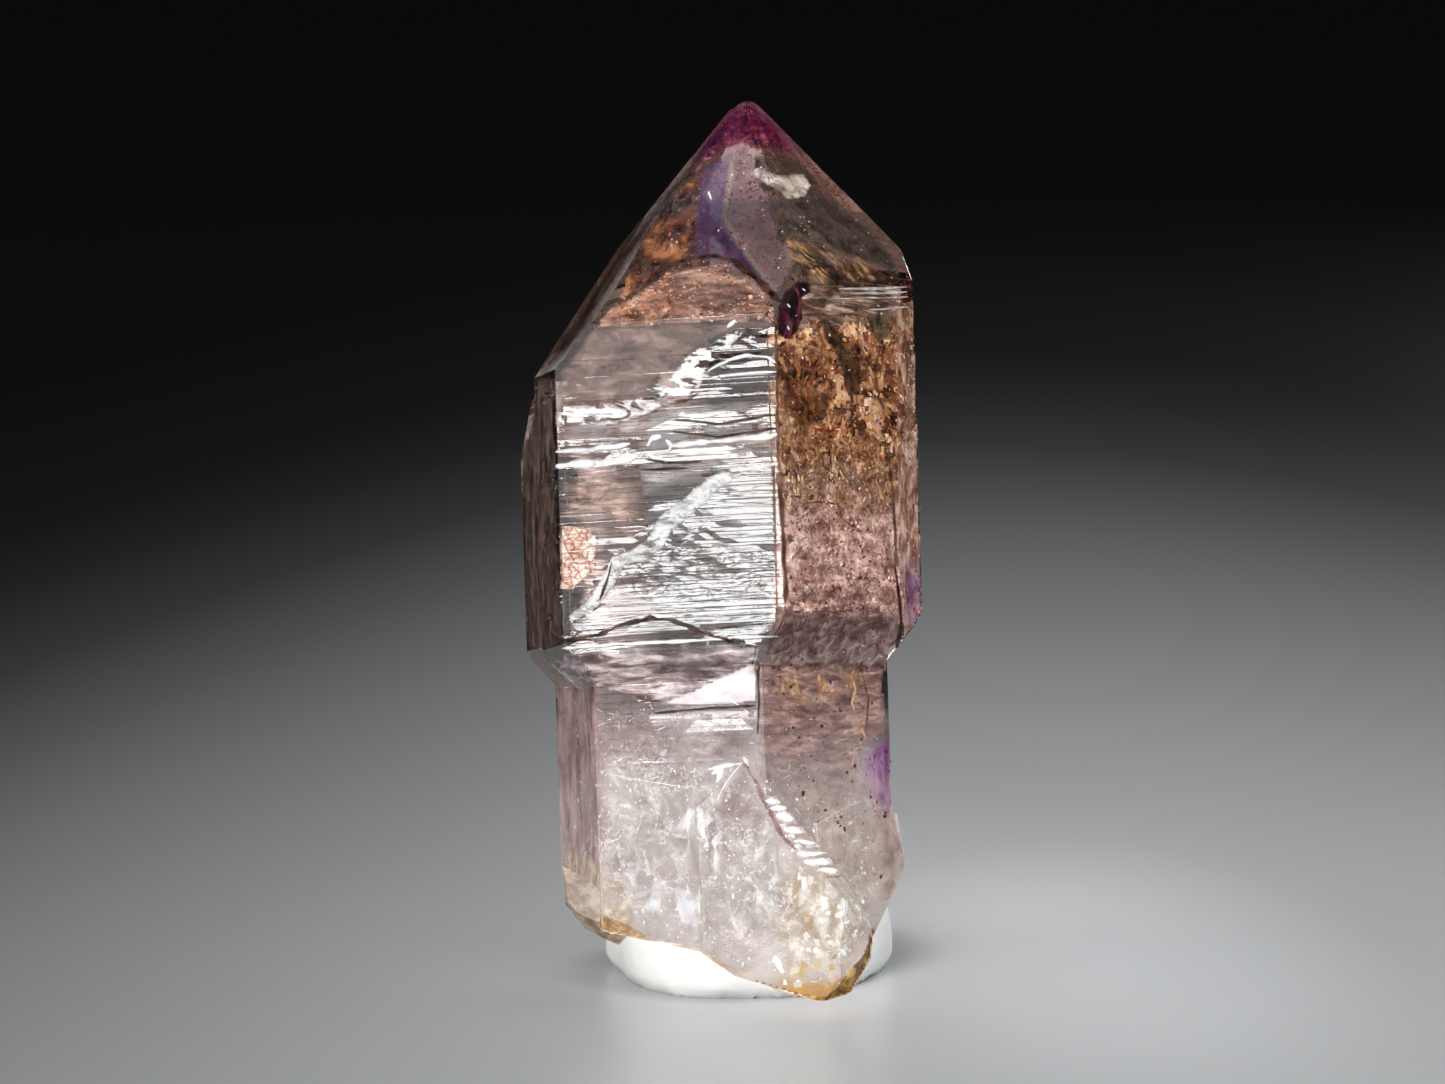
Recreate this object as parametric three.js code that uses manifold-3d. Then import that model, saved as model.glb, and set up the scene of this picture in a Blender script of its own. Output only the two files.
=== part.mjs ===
// A smoky amethyst crystal of sceptre habit: a wide six-sided head that grew over a narrower stem.
// It stands in a pressed lump of white display putty and leans a little backwards.
//
// Millimetres, +Z up. The origin is on the surface that the putty rests on, below the middle.
// The viewer stands at -Y. Each flat face is given by three numbers: its azimuth in degrees around
// the crystal's axis (0 towards the viewer, growing to the viewer's left), its rise, which is the
// tilt of its outward normal above level, and its distance from the crystal's own origin.

import * as THREE from 'three';
import { ConvexGeometry } from 'three/addons/geometries/ConvexGeometry.js';
import { mergeVertices } from 'three/addons/utils/BufferGeometryUtils.js';
import Module from 'manifold-3d';

const wasm = await Module();
wasm.setup();

// How the crystal stands, in degrees, and where its own origin lies before the whole is centred
const LEAN_BACK = 12.5;
const LEAN_LEFT = 2;
const TURN_LEFT = 13;
const CRYSTAL_PLACE = new THREE.Vector3(0.9, -0.2, -0.6);

// Angles of quartz, in degrees: the six sides, the tip's faces and the small corner faces
const SIDES = { front: 0, left: 60, backLeft: 120, back: 180, backRight: 240, right: 300 };
const RHOMB_RISE = 38.2;
const CORNER_RISE = 24.5;

// The head. underside gives the height on each side where its sloping bottom begins.
const HEAD = {
  prism: { front: 8.83, left: 9.86, backLeft: 4.6, back: 7.6, backRight: 8.95, right: 8.71 },
  tip: { front: 27.65, left: 27.12, backLeft: 27.35, back: 29.2, backRight: 30.15, right: 29.05 },
  underside: { front: 17.1, left: 17.6, backLeft: 17.3, back: 18.4, backRight: 19, right: 18.65 },
  trims: [
    [330, CORNER_RISE, 22.85],
    [270, CORNER_RISE, 24.05],
    [300, 12, 15.84],
    [292, -1.2, 8.59],
    [150, 0, 7.35],
  ],
};

// Later growth on the head's back left, which ends lower down than the tip.
const SHOULDER = {
  prism: { front: 6, left: 9.8, backLeft: 7.45, back: 7.5, backRight: 3, right: -3 },
  tip: { left: 26.4, backLeft: 22.85, back: 22.4 },
  underside: { left: 17.75, backLeft: 17.2, back: 18.6 },
};

// The breaks on the back and the left of the base, which all the lower growths share.
const BASE_BREAKS = [
  [210, -36, 0.45],
  [90, -50, 3.35],
  [70, -62, 1.55],
  [180, -52, -1.2],
];

// The stem runs from inside the head down to its broken base.
const STEM = {
  prism: { front: 7.6, left: 8.25, backLeft: 6.95, back: 6.4, backRight: 7.2, right: 6.8 },
  trims: [[0, 90, 24], [85, -1, 8.75], [142, -69, -4.18], ...BASE_BREAKS],
};

// A smaller crystal on the stem's front, grown in line with the large one. Its top is a chevron,
// and its lowest corner, on the right, is rounded by a few worn faces.
const FRONT_CRYSTAL = {
  prism: { front: 8, left: 3.9, backLeft: 1, back: -2, backRight: 4.13, right: 10.06 },
  tip: { backLeft: 2.52 },
  trims: [
    [270, 35, 8.46],
    [286, -16.6, 8.43],
    [298, -34.8, 7.74],
    [258, -32.3, 4.78],
    [258, -59.4, 2.88],
    [165, -74, -2.15],
    [120, -69, -2.82],
    [110, -51, -3.41],
    ...BASE_BREAKS,
  ],
};

// A rounder growth low on the stem's right, which shows as a bulge in its outline.
const SIDE_GROWTH = {
  prism: { front: 4.6, left: -1, backLeft: -3, back: 4.2, backRight: 7.8, right: 6.9 },
  trims: [
    [270, 62, 11.71],
    [270, 12, 9.75],
    [270, -20, 5.91],
    [330, 55, 10.64],
    [142, -69, -4.1],
    ...BASE_BREAKS,
  ],
};

const LOWER_GROWTHS = [STEM, FRONT_CRYSTAL, SIDE_GROWTH];

// Shell-shaped breaks along the base's edges: the balls that scoop them out, in the crystal's axes
const BASE_CHIPS = [
  { x: -9.6, y: -8.4, z: 1.4, radius: 4.2 },
  { x: -1.2, y: -11.6, z: -2.6, radius: 5.1 },
  { x: 10.6, y: 2.4, z: 1.4, radius: 4.3 },
  { x: -8.2, y: 6.6, z: 3.2, radius: 4.4 },
];

// Two growth layers on the head's front face. Each one's ragged upper edge is a row of points
// (distance to the right, height) from its right end down to its left end.
const LAYER_FOOT = [[-5.9, 17.8], [4.6, 18.2]];
const LAYERS = [
  {
    thickness: 0.1,
    edge: [[4.6, 32.7], [3, 32.8], [1.5, 31.9], [0.6, 31], [-0.4, 30.9], [-1.2, 30], [-2.6, 29.5],
      [-4, 29.3], [-5.9, 28.9]],
  },
  {
    thickness: 0.19,
    edge: [[4.7, 25.9], [2.9, 25.8], [1.2, 25.5], [0.3, 24.6], [-0.8, 23.9], [-1.7, 22.9],
      [-3.2, 22], [-3.6, 20.6], [-5.6, 19.6]],
  },
];

// Coarse striations: how tall and how proud a growth step is, on average
const STEP_HEIGHT = 0.85;
const STEP_PROUD = 0.07;

// The stair of small steps down the front crystal's right edge: x is where its first step begins,
// and run and drop are how far the last one lies to the right of it and below it.
const STAIR = {
  steps: 8, azimuth: 330, x: 3.42, run: 2.5, top: 9.35, drop: 3.65, width: 0.75, widening: 0.5,
  height: 0.36, proud: 0.16, depth: 3, rise: 20,
};

// How deep a step or layer reaches into the body that it is part of
const ROOT_DEPTH = 0.5;

// The putty: half its width and depth, its height, and its middle before the whole is centred
const PUTTY = { halfWidth: 7.4, halfDepth: 7.6, height: 6.6, x: 1.2, y: 3.1 };
const PUTTY_GAP = 0.3;

// The putty's side view, as parts of its half width and its height, from the bottom to the top
const PUTTY_PROFILE = [
  [0, 0], [0.93, 0], [0.985, 0.1], [1, 0.27], [0.985, 0.48], [0.93, 0.68], [0.8, 0.84], [0.55, 0.95],
  [0.25, 0.99], [0, 1],
];

const COLOURS = { crystal: 0xb79aae, putty: 0xf2f2ea };

function radians(degrees) {
  return THREE.MathUtils.degToRad(degrees);
}

// A repeatable random number maker, so that the part is the same each time.
function randomFrom(seed) {
  let state = seed;
  return (low, high) => {
    state = (Math.imul(state, 1664525) + 1013904223) >>> 0;
    return low + (high - low) * (state / 4294967296);
  };
}

// Outward direction of a face, from its azimuth and rise.
function outward(azimuth, rise = 0) {
  const level = Math.cos(radians(rise));
  return new THREE.Vector3(
    -Math.sin(radians(azimuth)) * level,
    -Math.cos(radians(azimuth)) * level,
    Math.sin(radians(rise)),
  );
}

function face(azimuth, rise, distance) {
  return new THREE.Plane(outward(azimuth, rise), -distance);
}

function faceThrough(azimuth, rise, point) {
  return face(azimuth, rise, outward(azimuth, rise).dot(point));
}

// Faces moved outwards by a distance, or inwards by a negative one.
function movedOut(faces, distance) {
  return faces.map((plane) => new THREE.Plane(plane.normal.clone(), plane.constant - distance));
}

function prismFaces({ prism }) {
  return Object.entries(prism).map(([side, distance]) => face(SIDES[side], 0, distance));
}

function tipFaces({ tip = {} }) {
  return Object.entries(tip).map(([side, distance]) => face(SIDES[side], RHOMB_RISE, distance));
}

function undersideFaces({ prism, underside = {} }) {
  return Object.entries(underside).map(([side, height]) => {
    const start = outward(SIDES[side]).multiplyScalar(prism[side]).setZ(height);
    return faceThrough(SIDES[side], -RHOMB_RISE, start);
  });
}

function trimFaces({ trims = [] }) {
  return trims.map(([azimuth, rise, distance]) => face(azimuth, rise, distance));
}

function facesOf(growth) {
  return [...prismFaces(growth), ...tipFaces(growth), ...undersideFaces(growth), ...trimFaces(growth)];
}

// The corner where three faces meet, or nothing if two of them are nearly parallel.
function cornerOf(a, b, c) {
  const bc = new THREE.Vector3().crossVectors(b.normal, c.normal);
  const volume = a.normal.dot(bc);
  if (Math.abs(volume) < 1e-4) return null;
  const ca = new THREE.Vector3().crossVectors(c.normal, a.normal);
  const ab = new THREE.Vector3().crossVectors(a.normal, b.normal);
  return bc.multiplyScalar(-a.constant)
    .add(ca.multiplyScalar(-b.constant))
    .add(ab.multiplyScalar(-c.constant))
    .divideScalar(volume);
}

// The convex shape behind all of the given faces.
function shapeBehind(faces) {
  const corners = [];
  for (let i = 0; i < faces.length; i += 1) {
    for (let j = i + 1; j < faces.length; j += 1) {
      for (let k = j + 1; k < faces.length; k += 1) {
        const corner = cornerOf(faces[i], faces[j], faces[k]);
        const kept = corner && faces.every((plane) => plane.distanceToPoint(corner) < 1e-6);
        if (kept && !corners.some((other) => other.distanceTo(corner) < 1e-3)) corners.push(corner);
      }
    }
  }
  return new ConvexGeometry(corners);
}

function geometryToSolid(geometry) {
  const bare = geometry.index ? geometry.toNonIndexed() : geometry.clone();
  bare.deleteAttribute('normal');
  bare.deleteAttribute('uv');
  const merged = mergeVertices(bare, 1e-4);
  return new wasm.Manifold(new wasm.Mesh({
    numProp: 3,
    vertProperties: new Float32Array(merged.attributes.position.array),
    triVerts: new Uint32Array(merged.index.array),
  }));
}

function solidToGeometry(solid) {
  const mesh = solid.getMesh();
  const geometry = new THREE.BufferGeometry();
  geometry.setAttribute('position', new THREE.BufferAttribute(new Float32Array(mesh.vertProperties), 3));
  geometry.setIndex(new THREE.BufferAttribute(new Uint32Array(mesh.triVerts), 1));
  geometry.computeVertexNormals();
  return geometry;
}

function solidBehind(faces) {
  return geometryToSolid(shapeBehind(faces));
}

function joined(solids) {
  return solids.reduce((whole, next) => whole.add(next));
}

// A place on a prism face: across runs to the viewer's right along the face, and z is the height.
function onFace(azimuth, distance, across, z) {
  const along = new THREE.Vector3(Math.cos(radians(azimuth)), -Math.sin(radians(azimuth)), 0);
  return outward(azimuth).multiplyScalar(distance).addScaledVector(along, across).setZ(z);
}

// How far a prism face reaches to its left and right, measured from its middle line.
function faceSpan(prism, side) {
  const order = Object.keys(SIDES);
  const index = order.indexOf(side);
  const leftSide = order[(index + 1) % order.length];
  const rightSide = order[(index + order.length - 1) % order.length];
  const reach = (neighbour) => (prism[neighbour] - prism[side] * 0.5) / Math.sin(radians(60));
  return { left: -reach(leftSide), right: reach(rightSide) };
}

// One growth step on a prism face: a thin wedge, thickest at its lower edge or at its upper one.
// Its ends are cut at a slant, so that the thick edge is the longer one.
function growthStep(azimuth, distance, step) {
  const depth = step.depth ?? ROOT_DEPTH;
  const tilt =THREE.MathUtils.radToDeg(Math.atan2(step.proud, step.top - step.bottom));
  const facing = step.thickBelow ? 1 : -1;
  const thickEdge = step.thickBelow ? step.bottom : step.top;
  return solidBehind([
    faceThrough(azimuth, facing * tilt, onFace(azimuth, distance + step.proud, 0, thickEdge)),
    faceThrough(azimuth + 85, facing * step.endRise, onFace(azimuth, distance, step.left, thickEdge)),
    faceThrough(azimuth - 85, facing * step.endRise, onFace(azimuth, distance, step.right, thickEdge)),
    face(azimuth + 180, 0, depth - distance),
    face(0, 90, step.top),
    face(0, -90, -step.bottom),
  ]);
}

// The horizontal striations of a prism face, coarse ones only, from its low end to its high end.
function striations(azimuth, distance, zone, random) {
  const steps = [];
  const width = zone.right - zone.left;
  let height = zone.bottom;
  while (height < zone.top) {
    const tall = random(0.6, 1.5) * STEP_HEIGHT;
    const middle = random(zone.left, zone.right);
    const half = random(0.3, 0.8) * width;
    steps.push(growthStep(azimuth, distance, {
      bottom: height,
      top: height + tall,
      left: Math.max(zone.left, middle - half),
      right: Math.min(zone.right, middle + half),
      proud: random(0.6, 1.3) * STEP_PROUD,
      endRise: random(45, 72),
      thickBelow: random(0, 1) < 0.7,
    }));
    height += tall * random(0.8, 1.4);
  }
  return joined(steps);
}

// The striations on all six faces of the head, kept inside its sloping tip.
function headStriations() {
  const random = randomFrom(11);
  const margin = 0.35;
  const steps = Object.entries(SIDES).map(([side, azimuth]) => {
    const span = faceSpan(HEAD.prism, side);
    const isFront = side === 'front';
    const distance = HEAD.prism[side] + (isFront ? LAYERS[0].thickness : 0);
    const zone = {
      bottom: HEAD.underside[side] + ROOT_DEPTH,
      top: isFront ? 31 : 34,
      left: span.left + margin,
      right: span.right - margin,
    };
    return striations(azimuth, distance, zone, random);
  });
  const limits = solidBehind([
    ...movedOut(prismFaces(HEAD), 0.4),
    ...movedOut([...tipFaces(HEAD), ...trimFaces(HEAD)], -0.04),
    ...undersideFaces(HEAD),
  ]);
  return joined(steps).intersect(limits);
}

// The striations on the growth at the back left, and above the small crystal on the stem.
function otherStriations() {
  const random = randomFrom(23);
  const { backLeft, back } = SHOULDER.prism;
  return [
    striations(SIDES.backLeft, backLeft, { bottom: 18.6, top: 25.4, left: -4.6, right: 2.4 }, random),
    striations(SIDES.back, back, { bottom: 19.6, top: 24.2, left: -1.4, right: 3.6 }, random),
    striations(SIDES.front, STEM.prism.front, { bottom: 11.6, top: 15, left: -4.6, right: 2.9 }, random),
    striations(SIDES.back, STEM.prism.back, { bottom: 10.6, top: 16, left: -3.4, right: 3.4 }, random),
  ];
}

// A growth layer with a ragged edge: an outline on the front face, given thickness outwards.
function growthLayer({ thickness, edge }) {
  const outline = [...edge, ...LAYER_FOOT].map(([across, z]) => new THREE.Vector2(across, z));
  const depth = thickness + ROOT_DEPTH;
  const geometry = new THREE.ExtrudeGeometry(new THREE.Shape(outline), { depth, bevelEnabled: false });
  geometry.rotateX(Math.PI / 2);
  geometry.translate(0, ROOT_DEPTH - HEAD.prism.front, 0);
  return geometryToSolid(geometry);
}

// A stair of small steps down the front crystal's right edge, each one begun at its front face.
function stairSteps() {
  const along = outward(STAIR.azimuth - 90);
  return joined(Array.from({ length: STAIR.steps }, (_, index) => {
    const part = index / (STAIR.steps - 1);
    const bottom = STAIR.top - STAIR.drop * part;
    const start = new THREE.Vector3(STAIR.x + STAIR.run * part, -FRONT_CRYSTAL.prism.front, 0);
    const left = along.dot(start);
    return growthStep(STAIR.azimuth, outward(STAIR.azimuth).dot(start), {
      bottom,
      top: bottom + STAIR.height,
      left,
      right: left + STAIR.width + STAIR.widening * part,
      proud: STAIR.proud,
      depth: STAIR.depth,
      endRise: STAIR.rise,
      thickBelow: true,
    });
  }));
}

function baseChip({ x, y, z, radius }) {
  const ball = new THREE.IcosahedronGeometry(radius, 5);
  ball.translate(x, y, z);
  return geometryToSolid(ball);
}

// The crystal in its own axes, grown as one solid.
function crystalSolid() {
  const grown = joined([
    solidBehind(facesOf(HEAD)),
    solidBehind(facesOf(SHOULDER)),
    ...LAYERS.map(growthLayer),
    headStriations(),
    ...LOWER_GROWTHS.map((growth) => solidBehind(facesOf(growth))),
    ...otherStriations(),
    stairSteps(),
  ]);
  return BASE_CHIPS.reduce((rest, chip) => rest.subtract(baseChip(chip)), grown);
}

// Where the crystal stands: its own axes to the specimen's.
function crystalPose() {
  const turn = new THREE.Euler(radians(-LEAN_BACK), radians(-LEAN_LEFT), radians(-TURN_LEFT), 'YXZ');
  return new THREE.Matrix4().makeRotationFromEuler(turn).setPosition(CRYSTAL_PLACE);
}

// The space that the crystal's lower end takes up in the putty, with clearance all round.
function imprint() {
  return joined(LOWER_GROWTHS.map((growth) => {
    const shape = shapeBehind(movedOut(facesOf(growth), PUTTY_GAP));
    return geometryToSolid(shape.applyMatrix4(crystalPose()));
  }));
}

// The putty before the crystal is pressed in: a squashed, thumbed lump with a flat bottom.
function puttyLump() {
  const profile = PUTTY_PROFILE.map(([radius, z]) => new THREE.Vector2(radius, z));
  const lump = new THREE.LatheGeometry(profile, 48);
  lump.rotateX(Math.PI / 2);
  const place = lump.attributes.position;
  for (let index = 0; index < place.count; index += 1) {
    const x = place.getX(index);
    const y = place.getY(index);
    const z = place.getZ(index);
    const around = Math.atan2(y, x);
    const thumbed = 1 + 0.03 * Math.sin(3 * around + 0.6) + 0.02 * Math.sin(5 * around + 3 * z)
      + 0.012 * Math.sin(9 * around - 5 * z);
    const slump = 0.86 + 0.14 * y + 0.05 * Math.sin(2 * around + 1);
    place.setXYZ(
      index,
      PUTTY.x + x * PUTTY.halfWidth * thumbed,
      PUTTY.y + y * PUTTY.halfDepth * thumbed,
      z * PUTTY.height * slump,
    );
  }
  return geometryToSolid(lump);
}

function addMesh(group, name, solid, colour, roughness) {
  const material = new THREE.MeshStandardMaterial({ color: colour, roughness, metalness: 0 });
  const mesh = new THREE.Mesh(solidToGeometry(solid), material);
  mesh.name = name;
  group.add(mesh);
  return mesh;
}

const specimen = new THREE.Group();
addMesh(specimen, 'crystal', crystalSolid(), COLOURS.crystal, 0.12).applyMatrix4(crystalPose());
addMesh(specimen, 'display_putty', puttyLump().subtract(imprint()), COLOURS.putty, 0.6);

// The middle of the whole goes over the origin.
const middle = new THREE.Box3().setFromObject(specimen, true).getCenter(new THREE.Vector3());
specimen.position.set(-middle.x, -middle.y, 0);

export default specimen;
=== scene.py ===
"""A smoky amethyst crystal of sceptre habit, standing in a pressed lump of white display putty.

Everything is in metres in the CAD model's frame. Lengths with the ending _MM are in millimetres, and
so are the crystal's own axes: its z runs along the crystal, and -y points out of the broad face that
looks at the viewer. An azimuth is 0 towards that face and grows to the viewer's left.
"""
import math

import bmesh
import bpy
import numpy as np
from mathutils import Matrix, Vector
from mathutils.bvhtree import BVHTree


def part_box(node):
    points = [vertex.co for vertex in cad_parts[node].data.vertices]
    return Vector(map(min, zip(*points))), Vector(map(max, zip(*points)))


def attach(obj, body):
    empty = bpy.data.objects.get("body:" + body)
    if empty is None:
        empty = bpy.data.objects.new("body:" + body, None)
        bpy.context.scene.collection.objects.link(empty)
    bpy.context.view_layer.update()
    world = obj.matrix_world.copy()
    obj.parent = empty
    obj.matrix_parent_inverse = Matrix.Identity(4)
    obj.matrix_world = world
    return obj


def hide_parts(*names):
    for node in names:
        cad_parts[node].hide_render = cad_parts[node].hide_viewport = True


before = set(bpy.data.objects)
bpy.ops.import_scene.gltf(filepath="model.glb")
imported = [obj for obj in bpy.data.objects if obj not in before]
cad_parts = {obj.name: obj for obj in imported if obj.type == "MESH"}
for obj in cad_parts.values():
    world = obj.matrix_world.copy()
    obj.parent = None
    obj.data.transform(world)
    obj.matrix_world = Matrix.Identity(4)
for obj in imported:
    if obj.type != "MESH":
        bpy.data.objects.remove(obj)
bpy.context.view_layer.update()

# How the crystal stands, as in the CAD model: degrees, and its own origin
LEAN_BACK = 12.5
LEAN_LEFT = 2.0
TURN_LEFT = 13.0
CRYSTAL_ORIGIN_MM = (0.972, -3.261, -0.6)
MM = 0.001

# The photograph's camera: its size in pixels, focal length in pixels, distance and height angle
PHOTO_WIDTH = 1445
PHOTO_HEIGHT = 1084
FOCAL_PIXELS = 6000.0
MM_PER_PIXEL = 0.05
SENSOR_WIDTH_MM = 36.0
CAMERA_DISTANCE_MM = 300.0
CAMERA_RISE = 8.0
CAMERA_TARGET_MM = (0.072, -3.061, 22.5)

# Quartz: its refractive index, and the angle of its tip's faces above level, in degrees
QUARTZ_IOR = 1.544
RHOMB_RISE = 38.2

# Lights: azimuth (as the crystal's, but around the scene), rise, distance, width and height
KEY_BOX = {"azimuth": 27, "rise": 33, "distance": 0.42, "width": 0.24, "height": 0.13, "radiance": 16}
FILL_BOX = {"azimuth": 27, "rise": 18, "distance": 0.46, "width": 0.34, "height": 0.2, "radiance": 1.9}
RIGHT_BOX = {"azimuth": -58, "rise": 22, "distance": 0.45, "width": 0.2, "height": 0.2, "radiance": 3.2}
BACK_BOX = {"azimuth": -150, "rise": 10, "distance": 0.45, "width": 0.22, "height": 0.12, "radiance": 4}
HIGH_BOX = {"azimuth": -100, "rise": 58, "distance": 0.5, "width": 0.2, "height": 0.24, "radiance": 6}

FLOOR_RADIUS = 3.0
FLOOR_TONE = (0.68, 0.70, 0.72)

# How the pool of light painted on the floor falls off: distance from its brightest place in metres, and share
# of the tone. That place lies to the right. Distances to the left and right count for more, the farther back the more.
PAINTED_LIGHT_FALL = [(0, 1), (0.016, 0.92), (0.036, 0.72), (0.068, 0.64), (0.108, 0.48), (0.157, 0.3), (0.185, 0.19),
              (0.219, 0.086), (0.26, 0.036), (0.3, 0.0136), (0.42, 0.004)]
PAINTED_LIGHT_BRIGHTEST_X = 0.02
PAINTED_LIGHT_STRETCH_X = 2.35
PAINTED_LIGHT_STRETCH_GAIN = 6.0


def axes_of_crystal():
    """The turn from the crystal's own axes to the scene's, as a 3 x 3 array."""
    turn = Matrix.Rotation(-math.radians(LEAN_LEFT), 3, "Y")
    turn = turn @ Matrix.Rotation(-math.radians(LEAN_BACK), 3, "X")
    turn = turn @ Matrix.Rotation(-math.radians(TURN_LEFT), 3, "Z")
    return np.array(turn)


CRYSTAL_AXES = axes_of_crystal()


def to_scene(points):
    """Points in the crystal's axes, in millimetres, as points of the scene."""
    return (np.asarray(points) @ CRYSTAL_AXES.T + np.array(CRYSTAL_ORIGIN_MM)) * MM


def to_crystal(points):
    """Points of the scene in the crystal's axes, in millimetres."""
    return (np.asarray(points) / MM - np.array(CRYSTAL_ORIGIN_MM)) @ CRYSTAL_AXES


def outward(azimuth, rise):
    """The direction at an azimuth and a rise, in degrees."""
    a, r = math.radians(azimuth), math.radians(rise)
    return np.array([-math.sin(a) * math.cos(r), -math.cos(a) * math.cos(r), math.sin(r)])


# Smooth random fields

def smooth_noise(points, cell, seed):
    """Value noise from 0 to 1. cell is the size of its blotches along each axis."""
    scaled = np.asarray(points) / np.asarray(cell, float) + 1000.0
    corner = np.floor(scaled).astype(np.int64)
    part = scaled - corner
    part = part * part * (3 - 2 * part)
    total = np.zeros(len(scaled))
    for index in range(2 ** scaled.shape[1]):
        weight = np.ones(len(scaled))
        key = np.full(len(scaled), seed * 7919 + 17, np.int64)
        for axis in range(scaled.shape[1]):
            step = (index >> axis) & 1
            weight *= part[:, axis] if step else 1 - part[:, axis]
            key = (key * 73856093) ^ ((corner[:, axis] + step) * 19349663)
            key &= 0xFFFFFFFF
        key = ((key ^ (key >> 15)) * 2246822519) & 0xFFFFFFFF
        key = ((key ^ (key >> 13)) * 3266489917) & 0xFFFFFFFF
        key ^= key >> 16
        total += weight * key / 0xFFFFFFFF
    return total


def ramp(value, low, high):
    """0 below low, 1 above high, smooth between."""
    part = np.clip((value - low) / (high - low), 0, 1)
    return part * part * (3 - 2 * part)


# The crystal's surface: the CAD solid cut into fine rows and columns, then raised into growth steps

def cut_group(polygons, side):
    """Cuts polygons of one size that cross a plane. side is each corner's distance above the plane."""
    rows = np.arange(len(polygons))[:, None]
    size = polygons.shape[1]
    starts = (side > 0) & (np.roll(side, 1, axis=1) <= 0)
    order = (starts.argmax(1)[:, None] + np.arange(size)) % size
    polygons, side = polygons[rows, order], side[rows, order]
    above = (side > 0).sum(1)
    exit_zero = side[rows[:, 0], above] == 0
    entry_zero = side[:, -1] == 0
    pieces = []
    for code in np.unique(np.stack([above, exit_zero, entry_zero], 1), axis=0):
        count, skip_exit, skip_entry = int(code[0]), int(code[1]), int(code[2])
        here = (above == count) & (exit_zero == code[1]) & (entry_zero == code[2])
        corners, heights = polygons[here], side[here]
        entry = meeting_point(corners[:, -1], corners[:, 0], heights[:, -1], heights[:, 0])
        leave = meeting_point(corners[:, count], corners[:, count - 1], heights[:, count], heights[:, count - 1])
        upper = np.concatenate([entry[:, None], corners[:, :count], leave[:, None]], 1)
        rest = corners[:, count + skip_exit:size - skip_entry]
        lower = np.concatenate([leave[:, None], rest, entry[:, None]], 1)
        pieces += [upper, lower]
    return pieces


def meeting_point(low, high, low_side, high_side):
    """Where the lines from low to high points meet the plane."""
    part = -low_side / (high_side - low_side)
    return low + (high - low) * part[:, None]


def grouped(pieces):
    """Polygon arrays sorted into one array for each number of corners."""
    groups = {}
    for piece in pieces:
        if len(piece) and piece.shape[1] > 2:
            groups.setdefault(piece.shape[1], []).append(piece)
    return {size: np.concatenate(found) for size, found in groups.items()}


def cut_by_levels(groups, axis, levels):
    """Cuts polygons by many planes across one axis, setting aside what is done on the way up."""
    done = []
    for level in levels:
        pieces = []
        for polygons in groups.values():
            side = polygons[:, :, axis] - level
            side[np.abs(side) < 1e-5] = 0
            finished = side.max(1) <= 0
            crossing = (side > 0).any(1) & (side < 0).any(1)
            done.append(polygons[finished])
            pieces.append(polygons[~finished & ~crossing])
            if crossing.any():
                for piece in cut_group(polygons[crossing], side[crossing]):
                    is_done = piece[:, :, axis].max(1) <= level + 1e-5
                    done.append(piece[is_done])
                    pieces.append(piece[~is_done])
        groups = grouped(pieces)
    return grouped(done + list(groups.values()))


def joined_mesh(groups):
    """Shared points, the polygons' point numbers, and which named face each polygon belongs to."""
    corners = np.concatenate([polygons.reshape(-1, 3) for polygons in groups.values()])
    points, index = np.unique(np.round(corners, 4), axis=0, return_inverse=True)
    index = index.reshape(-1)
    faces, kinds, start = [], [], 0
    for size, polygons in groups.items():
        block = index[start:start + len(polygons) * size].reshape(-1, size)
        start += len(polygons) * size
        for polygon, kind in zip(block.tolist(), named_faces(polygons).tolist()):
            kept = [point for k, point in enumerate(polygon) if point != polygon[k - 1]]
            if len(set(kept)) > 2 and len(set(kept)) == len(kept):
                faces.append(kept)
                kinds.append(kind)
    return points, faces, kinds


def node_triangles(node):
    """A CAD node's triangles in the crystal's axes."""
    mesh = node.data
    mesh.calc_loop_triangles()
    points = np.zeros(len(mesh.vertices) * 3)
    mesh.vertices.foreach_get("co", points)
    index = np.zeros(len(mesh.loop_triangles) * 3, np.int32)
    mesh.loop_triangles.foreach_get("vertices", index)
    return to_crystal(points.reshape(-1, 3))[index.reshape(-1, 3)]


# Striations: bands across the crystal, each a gently tilted terrace with a short riser above it
BAND_LOWEST = -1.0
BAND_HIGHEST = 46.0
RISER_MM = 0.035
COLUMN_MM = 0.42
STRIATION_SEED = 5


def band_edges():
    """The height at which each band starts: fine on the head, coarser on the stem and tip."""
    rng = np.random.default_rng(STRIATION_SEED)
    edges = [BAND_LOWEST]
    while edges[-1] < BAND_HIGHEST:
        height = edges[-1]
        on_head = 17 < height < 34
        low, high = (0.11, 0.4) if on_head else (0.22, 0.5)
        edges.append(height + rng.uniform(low, high))
    return np.array(edges)


BANDS = band_edges()

# Directions of the faces: six sides, six faces of the tip and six of the head's underside
FACE_AZIMUTHS = [0, 60, 120, 180, 240, 300]
FACE_RISES = [0, RHOMB_RISE, -RHOMB_RISE]
FACE_NORMALS = np.array([outward(a, r) for r in FACE_RISES for a in FACE_AZIMUTHS])
OTHER_FACE = len(FACE_NORMALS)

# The upper and lower ragged sutures on the front face: distance to the right and height, in mm
UPPER_SUTURE = [(-6.4, 29.0), (-3.6, 28.9), (-1.7, 29.2), (0.2, 30.0), (0.9, 31.1), (2.0, 31.9), (3.5, 32.4),
                (5.0, 32.6)]
LOWER_SUTURE = [(-6.0, 17.8), (-4.9, 19.4), (-4.1, 20.7), (-3.6, 21.7), (-2.4, 21.8), (-1.4, 22.3), (-0.9, 23.3),
                (0.4, 24.2), (1.6, 25.1), (3.1, 25.8)]


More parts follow.
